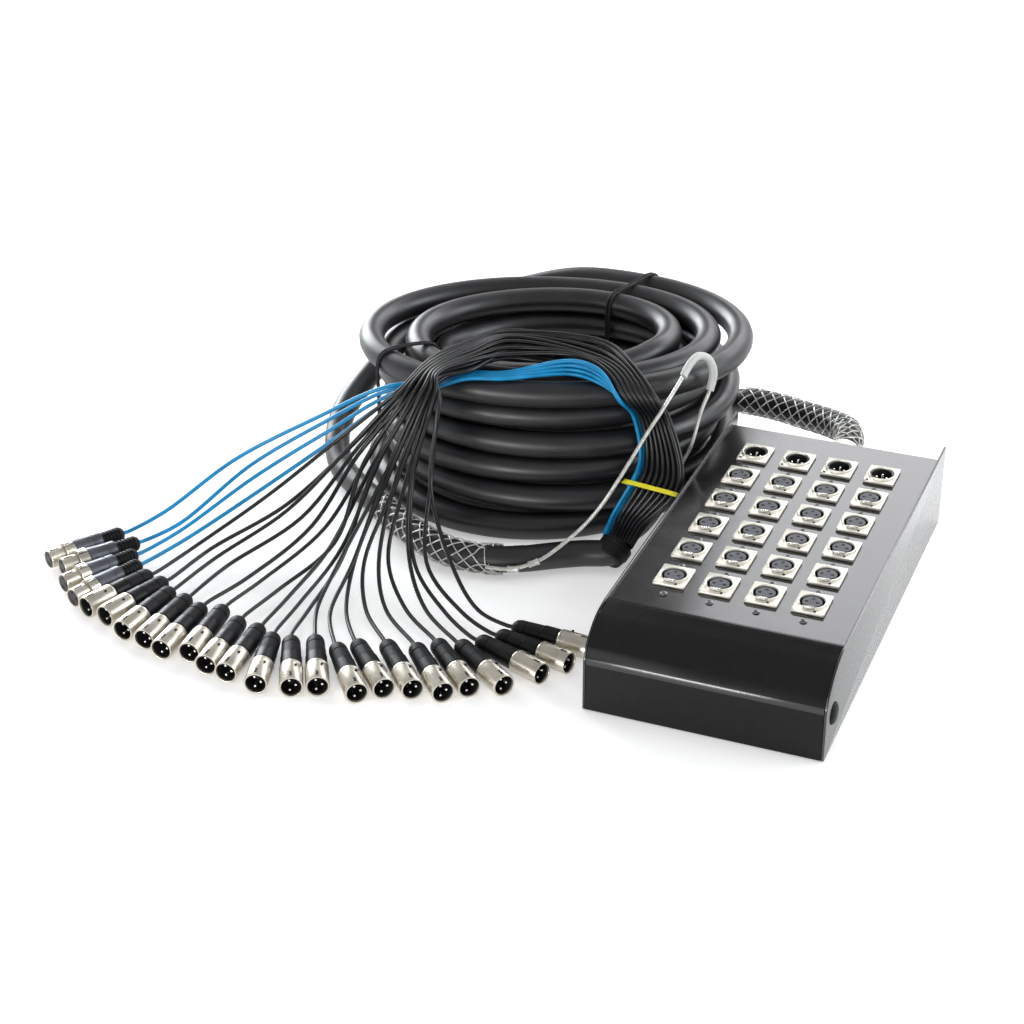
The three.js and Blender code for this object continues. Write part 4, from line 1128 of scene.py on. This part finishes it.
def flange(piece):
    """Flange plate with its bore, a clipped front corner and a tab on its rear edge."""
    form = slab((-13, -15.5, 0.3), (13, 15.5, 2.7), 0)
    upright = [e for e in form.edges if abs((e.verts[0].co - e.verts[1].co).z) > MM]
    bmesh.ops.bevel(form, geom=upright, offset=1.2 * MM, segments=3, profile=0.5, affect="EDGES", material=-1)
    well = spun(((0, -4), (FLANGE_BORE, -4), (FLANGE_BORE, 8), (0, 8)), 64)
    clip = slab((-14, -16.4, 1.2), (-11, -13.9, 4), 0)
    piece.add(form_of(carved(seal(bevelled(form, 0.35)), "nickel_plate", well, clip)), "nickel_plate")
    piece.add(slab((2, 15.2, 0.4), (8, 16.1, 2.2), 0.25), "nickel_plate")


def female_connector():
    """A female panel connector about its own axis, without its latch."""
    connector = Piece("female_connector")
    flange(connector)
    wall = (
        (9.9, -21), (11.8, -21), (11.8, 3.9), (11.6, 4.3), (11.2, 4.5), (10.5, 4.5), (10.1, 4.3), (9.9, 3.9),
        (9.9, -21),
    )
    latch_slot, key = slab((-4.3, -14, -5.8), (4.3, -7.3, 8), 0), slab((-8.6, -13, 2.8), (-5.4, -5.5, 8), 0)
    connector.add(form_of(carved(spun(wall, 64), "nickel_plate", latch_slot, key)), "nickel_plate")
    liner = ((9.85, 2.9), (9.6, 2.9), (9.6, -5.5), (7.7, -5.5), (7.7, -21), (9.85, -21), (9.85, 2.9))
    # Near-black lining inside the wall that darkens the groove round the insert: painted shade.
    connector.add(spun(liner, 48), "well_black")
    insert = ((0, RING_TOP - 0.6), (7.2, RING_TOP - 0.6), (7.7, RING_TOP - 1), (7.7, -20.8), (0, -20.8))
    connector.add(spun(insert, 48), "insert_plastic")
    connector.add(spun(((2.1, 3.9), (2.2, 4.05), (2.6, 4.05), (2.7, 3.9)), 24), "insert_plastic")
    pin_holes(connector, RING_TOP - 0.6)
    # Near-black mark for the flange's screw hole: painted shade.
    connector.add(slab((4.2, -13.6, 2.6), (6.2, -11.6, 3.1), 0.2), "well_black")
    return connector.template()


def male_connector():
    """A male panel connector about its own axis."""
    connector = Piece("male_connector")
    flange(connector)
    wall = (
        (10.3, -21), (11.8, -21), (11.8, 3.9), (11.5, 4.4), (11, 4.5), (10.5, 4.3), (10.3, 3.9), (10.3, -21)
    )
    key = slab((-8.2, -13, 3), (-5.2, -7, 8), 0)
    connector.add(form_of(carved(spun(wall, 64), "nickel_plate", key)), "nickel_plate")
    cup = (
        (10.25, 3.2), (8.9, 3.2), (8.7, 3), (8.7, -13.7), (0, -13.7), (0, -20.8), (10.25, -20.8), (10.25, 3.2)
    )
    connector.add(spun(cup, 64), "black_plastic")
    pins(connector, -13.7, 1.4)
    screw = spun(((0, 2.5), (1.3, 2.5), (1.3, 3.2), (0.9, 3.5), (0, 3.6)), 16)
    connector.add(screw, "screw_black", moved((-9.8, -12.6, 0)))
    return connector.template()


def ground_plate(piece, rows):
    """The plate that joins the rear ends of the connectors in the rows."""
    places = [place.translation for row, _, place in connector_places() if row in rows]
    reach = Vector((GROUND_EDGE, GROUND_EDGE, 0)) * MM
    low = Vector(min(p[i] for p in places) for i in range(3)) - reach
    high = Vector(max(p[i] for p in places) for i in range(3)) + reach
    low.z += GROUND_LEVELS[0] * MM
    high.z += GROUND_LEVELS[1] * MM
    piece.add(slab(low / MM, high / MM), "nickel_plate")


class SNAKE_OT_sockets(bpy.types.Operator):
    """Makes the female and the male panel connectors"""

    bl_idname = "snake.sockets"
    bl_label = "Panel connectors"

    def execute(self, context):
        sets = (
            ("input_connectors", female_connector(), range(ROWS - 1), "input_sockets"),
            ("return_connectors", male_connector(), (ROWS - 1,), "return_sockets"),
        )
        for name, template, rows, node in sets:
            group = Piece(name)
            for material in template.materials:
                group.mesh.materials.append(material)
            for row, _, place in connector_places():
                if row in rows:
                    mesh = template.copy()
                    mesh.transform(place)
                    group.whole.from_mesh(mesh)
                    bpy.data.meshes.remove(mesh)
            ground_plate(group, rows)
            settle(group.made(), ROOT, "nickel", node)
        return {"FINISHED"}


class SNAKE_OT_latches(bpy.types.Operator):
    """Makes the push latches of the female panel connectors"""

    bl_idname = "snake.latches"
    bl_label = "Push latches"

    def execute(self, context):
        tab = Piece("latch")
        top = RING_TOP + LATCH_RISE
        outline = (
            (-10.8, top - 9), (-7.6, top - 9), (-7.6, top - 1.1), (-8.2, top - 0.8), (-10.3, top),
            (-10.8, top - 0.3),
        )
        tab.add(profiled(outline, -4, 4, width=0.35), "latch_steel")
        template = tab.template()
        for row, column, place in connector_places():
            if row < ROWS - 1:
                node = f"socket_latch_row_{row + 1}_column_{column + 1}"
                latch = copied(f"push_latch_{row + 1}_{column + 1}", template, place)
                settle(latch, f"{node}_body", "latch_metal", node)
        return {"FINISHED"}


# Cord grips


def nut(across, low, high):
    """A hexagon nut with its corners turned off."""
    form = bmesh.new()
    radius = across / 2 / math.cos(math.pi / 6) * MM
    bmesh.ops.create_cone(
        form, cap_ends=True, segments=6, radius1=radius, radius2=radius, depth=(high - low) * MM,
        matrix=Matrix.Translation((0, 0, (low + high) / 2 * MM)),
    )
    return seal(bevelled(form, 0.8, 3))


class SNAKE_OT_rear_grip(bpy.types.Operator):
    """Makes the gland in the rear wall"""

    bl_idname = "snake.rear_grip"
    bl_label = "Gland"

    def execute(self, context):
        wall = moved((GLAND_X, WALL_Y + CLEARANCE, GLAND_LEVEL))
        place = wall @ Matrix.Rotation(-math.pi / 2, 4, "X")
        gland = Piece("cord_gland")
        gland.add(nut(30, -8.6, -2.6), "nickel_plate", place)
        gland.add(nut(31, 0, 11), "nickel_plate", place)
        body = (
            (12.6, -10), (14, -10), (14, 11.5), (15.2, 12.4), (15.2, 14), (14.8, 14.4), (14.8, 22.6),
            (14.2, 24.2), (13.2, 25), (12.6, 24.6), (12.6, -10),
        )
        gland.add(spun(body, 48), "nickel_plate", place)
        settle(gland.made(), ROOT, "wire_rope", "rear_cord_grip")
        return {"FINISHED"}


def sleeve_side(line, share, side):
    point, ahead, _ = line.at(line.length * share)
    return point + UP.cross(ahead).normalized() * side * (SLEEVE_RADIUS + ROPE_OFF_SLEEVE) * MM


class SNAKE_OT_pulling_grip(bpy.types.Operator):
    """Makes the crimps of the pulling sleeve, the wire rope loop and the thimble"""

    bl_idname = "snake.pulling_grip"
    bl_label = "Pulling grip"

    def execute(self, context):
        line = end_line()
        points = [sleeve_side(line, *place) for place in ROPE_START]
        points += [metres(point) for point in LOOP_POINTS]
        points += [sleeve_side(line, *place) for place in ROPE_END]
        rope = smooth_cord("rope_loop", points, sizes().rope / 2, "zinc_wire", 8, 2)
        loop = Line(points)
        pieces = [self.strands(loop), self.crimps(loop), self.thimble(loop)]
        for piece in (rope, *pieces):
            settle(piece, ROOT, "wire_rope", "front_pulling_grip")
        return {"FINISHED"}

    @staticmethod
    def strands(loop):
        steps = round(loop.length / (STRAND_STEP * MM))
        distances = [loop.length * step / steps for step in range(steps + 1)]
        paths = []
        for strand in range(STRANDS):
            turns = [TAU * (strand / STRANDS + distance / (STRAND_LAY * MM)) for distance in distances]
            paths.append([loop.beside(d, STRAND_RADIUS * MM, turn) for d, turn in zip(distances, turns)])
        return wires("rope_strands", paths, sizes().strand / 2, "zinc_wire")

    @staticmethod
    def crimps(loop):
        piece = Piece("rope_crimps")
        span = loop.length * CRIMP_SPAN_SHARE / MM
        profile = (
            (0, 0), (2.3, 0), (2.9, 0.5), (3, 1.2), (2.7, 2), (2.7, span - 2), (3, span - 1.2),
            (2.9, span - 0.5), (2.3, span), (0, span),
        )
        for share in CRIMP_SHARES:
            point, ahead, side = loop.at(loop.length * share)
            piece.add(spun(profile, 24), "zinc_wire", Matrix.Translation(point) @ turned(side, ahead))
        return piece.made()

    @staticmethod
    def thimble(loop):
        low, high = THIMBLE_SHARES
        shares = [low + (high - low) * step / THIMBLE_STEPS for step in range(THIMBLE_STEPS + 1)]
        path = [loop.at(loop.length * share)[0] for share in shares]
        outline = []
        for radius, way in zip(THIMBLE_RADII, (1, -1)):
            for step in range(-THIMBLE_HALF_STEPS, THIMBLE_HALF_STEPS + 1):
                angle = way * math.radians(THIMBLE_HALF_ARC * step / THIMBLE_HALF_STEPS)
                outline.append((radius * math.cos(angle), radius * math.sin(angle)))
        return swept("rope_thimble", path, outline, "thimble_plastic")


class SNAKE_OT_ties(bpy.types.Operator):
    """Makes the yellow tie on the tails and the strings on the coil"""

    bl_idname = "snake.ties"
    bl_label = "Ties"

    def execute(self, context):
        _, across, outward = station_frame(TIE_STATION)
        width, depth = TIE_SIZE
        straight, radius = (width - depth) / 2, depth / 2 - TIE_HALF_THICKNESS
        path = []
        for middle, start in ((straight, -90), (-straight, 90)):
            for step in range(TIE_BEND_STEPS + 1):
                angle = math.radians(start + 180 * step / TIE_BEND_STEPS)
                x, y = middle + radius * math.cos(angle), radius * math.sin(angle)
                path.append(metres(TIE_MIDDLE + across * x + outward * y))
        edge = ((TIE_HALF_THICKNESS, -2), (TIE_HALF_THICKNESS, 2), (0.3, 2.2))
        outline = (*edge, *((-x, y) for x, y in reversed(edge)), (-0.3, -2.2), (0.3, -2.2))
        tie = swept("yellow_band", path, outline, "tie_plastic", closed=True)
        settle(tie, ROOT, "tie_yellow", "yellow_tie")
        self.strings()
        return {"FINISHED"}

    @staticmethod
    def strings():
        """Doubled strings over the top layer's rings, at the turns where they are tied."""
        reach = (TRUNK_RADIUS + sizes().string / MM / 2) * MM
        paths = []
        for turns, rings in STRINGS:
            tops = [coil_point(turns - ring) for ring in range(rings)]
            first, last = tops[0], tops[-1]
            out = (first - last).normalized()
            path = [first + out * reach - UP * fall * MM for fall in STRING_FALLS[0]]
            path += [first + (out + UP).normalized() * reach, *(top + UP * reach for top in tops)]
            path += [last + (UP - out).normalized() * reach]
            path += [last - out * reach - UP * fall * MM for fall in STRING_FALLS[1]]
            beside = out.cross(UP) * STRING_APART * MM
            paths += [Line([point + beside * way for point in path], 6).points for way in (-1, 1)]
        strings = wires("coil_strings", paths, sizes().string / 2, "string_twine", sides=2)
        settle(strings, ROOT, "cable_black")


# Stage


def light(name):
    place, goal, (wide, high), power, tint = LIGHTS[name]
    lamp = bpy.data.lights.new(name, "AREA")
    lamp.shape = "RECTANGLE"
    lamp.size, lamp.size_y = wide, high
    lamp.energy = power
    lamp.color = tint
    holder = show(name, lamp)
    holder.location = place
    holder.rotation_euler = (Vector(goal) - Vector(place)).to_track_quat("-Z", "Y").to_euler()
    return holder


def seen_strength(tree, otherwise):
    """A node that gives its To Max to rays that show the stage itself, and otherwise the given strength."""
    path = add_node(tree, "LightPath")
    seen, entry = path, "Is Camera Ray"
    for kind in ("Is Glossy Ray", "Is Transmission Ray"):
        most = add_node(tree, "Math")
        most.operation = "MAXIMUM"
        tree.links.new(seen.outputs[entry], most.inputs[0])
        tree.links.new(path.outputs[kind], most.inputs[1])
        seen, entry = most, "Value"
    strength = add_node(tree, "MapRange", To_Min=otherwise)
    link(tree, (seen, entry, strength, "Value"))
    return strength


class SNAKE_OT_stage(bpy.types.Operator):
    """Makes the floor, the lights and the white background"""

    bl_idname = "snake.stage"
    bl_label = "Stage"

    def execute(self, context):
        context.scene.view_settings.view_transform = "Standard"
        self.world(context.scene)
        self.floor()
        for name in LIGHTS:
            light(name).visible_glossy = name != "overhead_softbox"
        return {"FINISHED"}

    @staticmethod
    def world(scene):
        """White all round, dimmer overhead where it is seen, and dimmer still as light."""
        scene.world = bpy.data.worlds.new("studio")
        scene.world.use_nodes = True
        tree = scene.world.node_tree
        background = fill(tree.nodes["Background"], Color=(1, 1, 1, 1))
        place = add_node(tree, "TexCoord")
        axes = add_node(tree, "SeparateXYZ")
        ceiling = add_node(tree, "MapRange", From_Min=0.22, From_Max=0.48, To_Min=1.0, To_Max=0.4)
        ceiling.interpolation_type = "SMOOTHSTEP"
        strength = seen_strength(tree, 0.38)
        link(
            tree, (place, "Generated", axes, "Vector"), (axes, "Z", ceiling, "Value"),
            (ceiling, "Result", strength, "To Max"), (strength, "Result", background, "Strength"),
        )

    @staticmethod
    def floor():
        """A pale floor that glows a little where it is seen, more so far from the box."""
        form = bmesh.new()
        bmesh.ops.create_grid(form, x_segments=1, y_segments=1, size=6)
        mesh = bpy.data.meshes.new("floor")
        form.to_mesh(mesh)
        form.free()
        material = bpy.data.materials.new("pale_floor")
        material.use_nodes = True
        mesh.materials.append(material)
        tree = material.node_tree
        shader = fill(
            tree.nodes["Principled BSDF"], Base_Color=(0.86, 0.86, 0.86, 1), Roughness=0.9,
            Specular_IOR_Level=0, Emission_Color=(1, 1, 1, 1),
        )
        place = add_node(tree, "TexCoord")
        distance = add_node(tree, "VectorMath")
        distance.operation = "LENGTH"
        glow = add_node(tree, "MapRange", From_Min=1.2, From_Max=3, To_Min=0.4, To_Max=0.7)
        strength = seen_strength(tree, 0)
        link(
            tree, (place, "Object", distance, "Vector"), (distance, "Value", glow, "Value"),
            (glow, "Result", strength, "To Max"), (strength, "Result", shader, "Emission Strength"),
        )
        return show("floor", mesh)


class SNAKE_PT_pieces(bpy.types.Panel):
    """Lists the makers of the pieces in the 3D view's sidebar"""

    bl_idname = "SNAKE_PT_pieces"
    bl_label = "Stage box snake"
    bl_space_type = "VIEW_3D"
    bl_region_type = "UI"
    bl_category = "Snake"

    def draw(self, context):
        for group in (sizes(), colours()):
            box = self.layout.box()
            for name in group.bl_rna.properties.keys():
                if name not in ("rna_type", "name"):
                    box.prop(group, name)
        for maker in MAKERS:
            self.layout.operator(maker.bl_idname)


MAKERS = (
    SNAKE_OT_camera,
    SNAKE_OT_ties,
    SNAKE_OT_trunk,
    SNAKE_OT_plugs,
    SNAKE_OT_tails,
    SNAKE_OT_box,
    SNAKE_OT_panel,
    SNAKE_OT_sockets,
    SNAKE_OT_latches,
    SNAKE_OT_rear_grip,
    SNAKE_OT_pulling_grip,
    SNAKE_OT_stage,
)
CLASSES = (SnakeSizes, SnakeColours, *MAKERS, SNAKE_PT_pieces)


def register():
    for item in CLASSES:
        bpy.utils.register_class(item)
    bpy.types.Scene.snake_sizes = PointerProperty(type=SnakeSizes)
    bpy.types.Scene.snake_colours = PointerProperty(type=SnakeColours)


def unregister():
    del bpy.types.Scene.snake_colours
    del bpy.types.Scene.snake_sizes
    for item in reversed(CLASSES):
        bpy.utils.unregister_class(item)


def corners(bounds):
    return [[float(value) for value in corner] for corner in bounds]


def main():
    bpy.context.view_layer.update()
    register()
    bpy.ops.snake.camera()
    bpy.ops.snake.ties()
    bpy.ops.snake.trunk()
    bpy.ops.snake.plugs()
    bpy.ops.snake.tails()
    bpy.ops.snake.box()
    bpy.ops.snake.panel()
    bpy.ops.snake.sockets()
    bpy.ops.snake.latches()
    bpy.ops.snake.rear_grip()
    bpy.ops.snake.pulling_grip()
    bpy.ops.snake.stage()


if __name__ == "__main__":
    main()
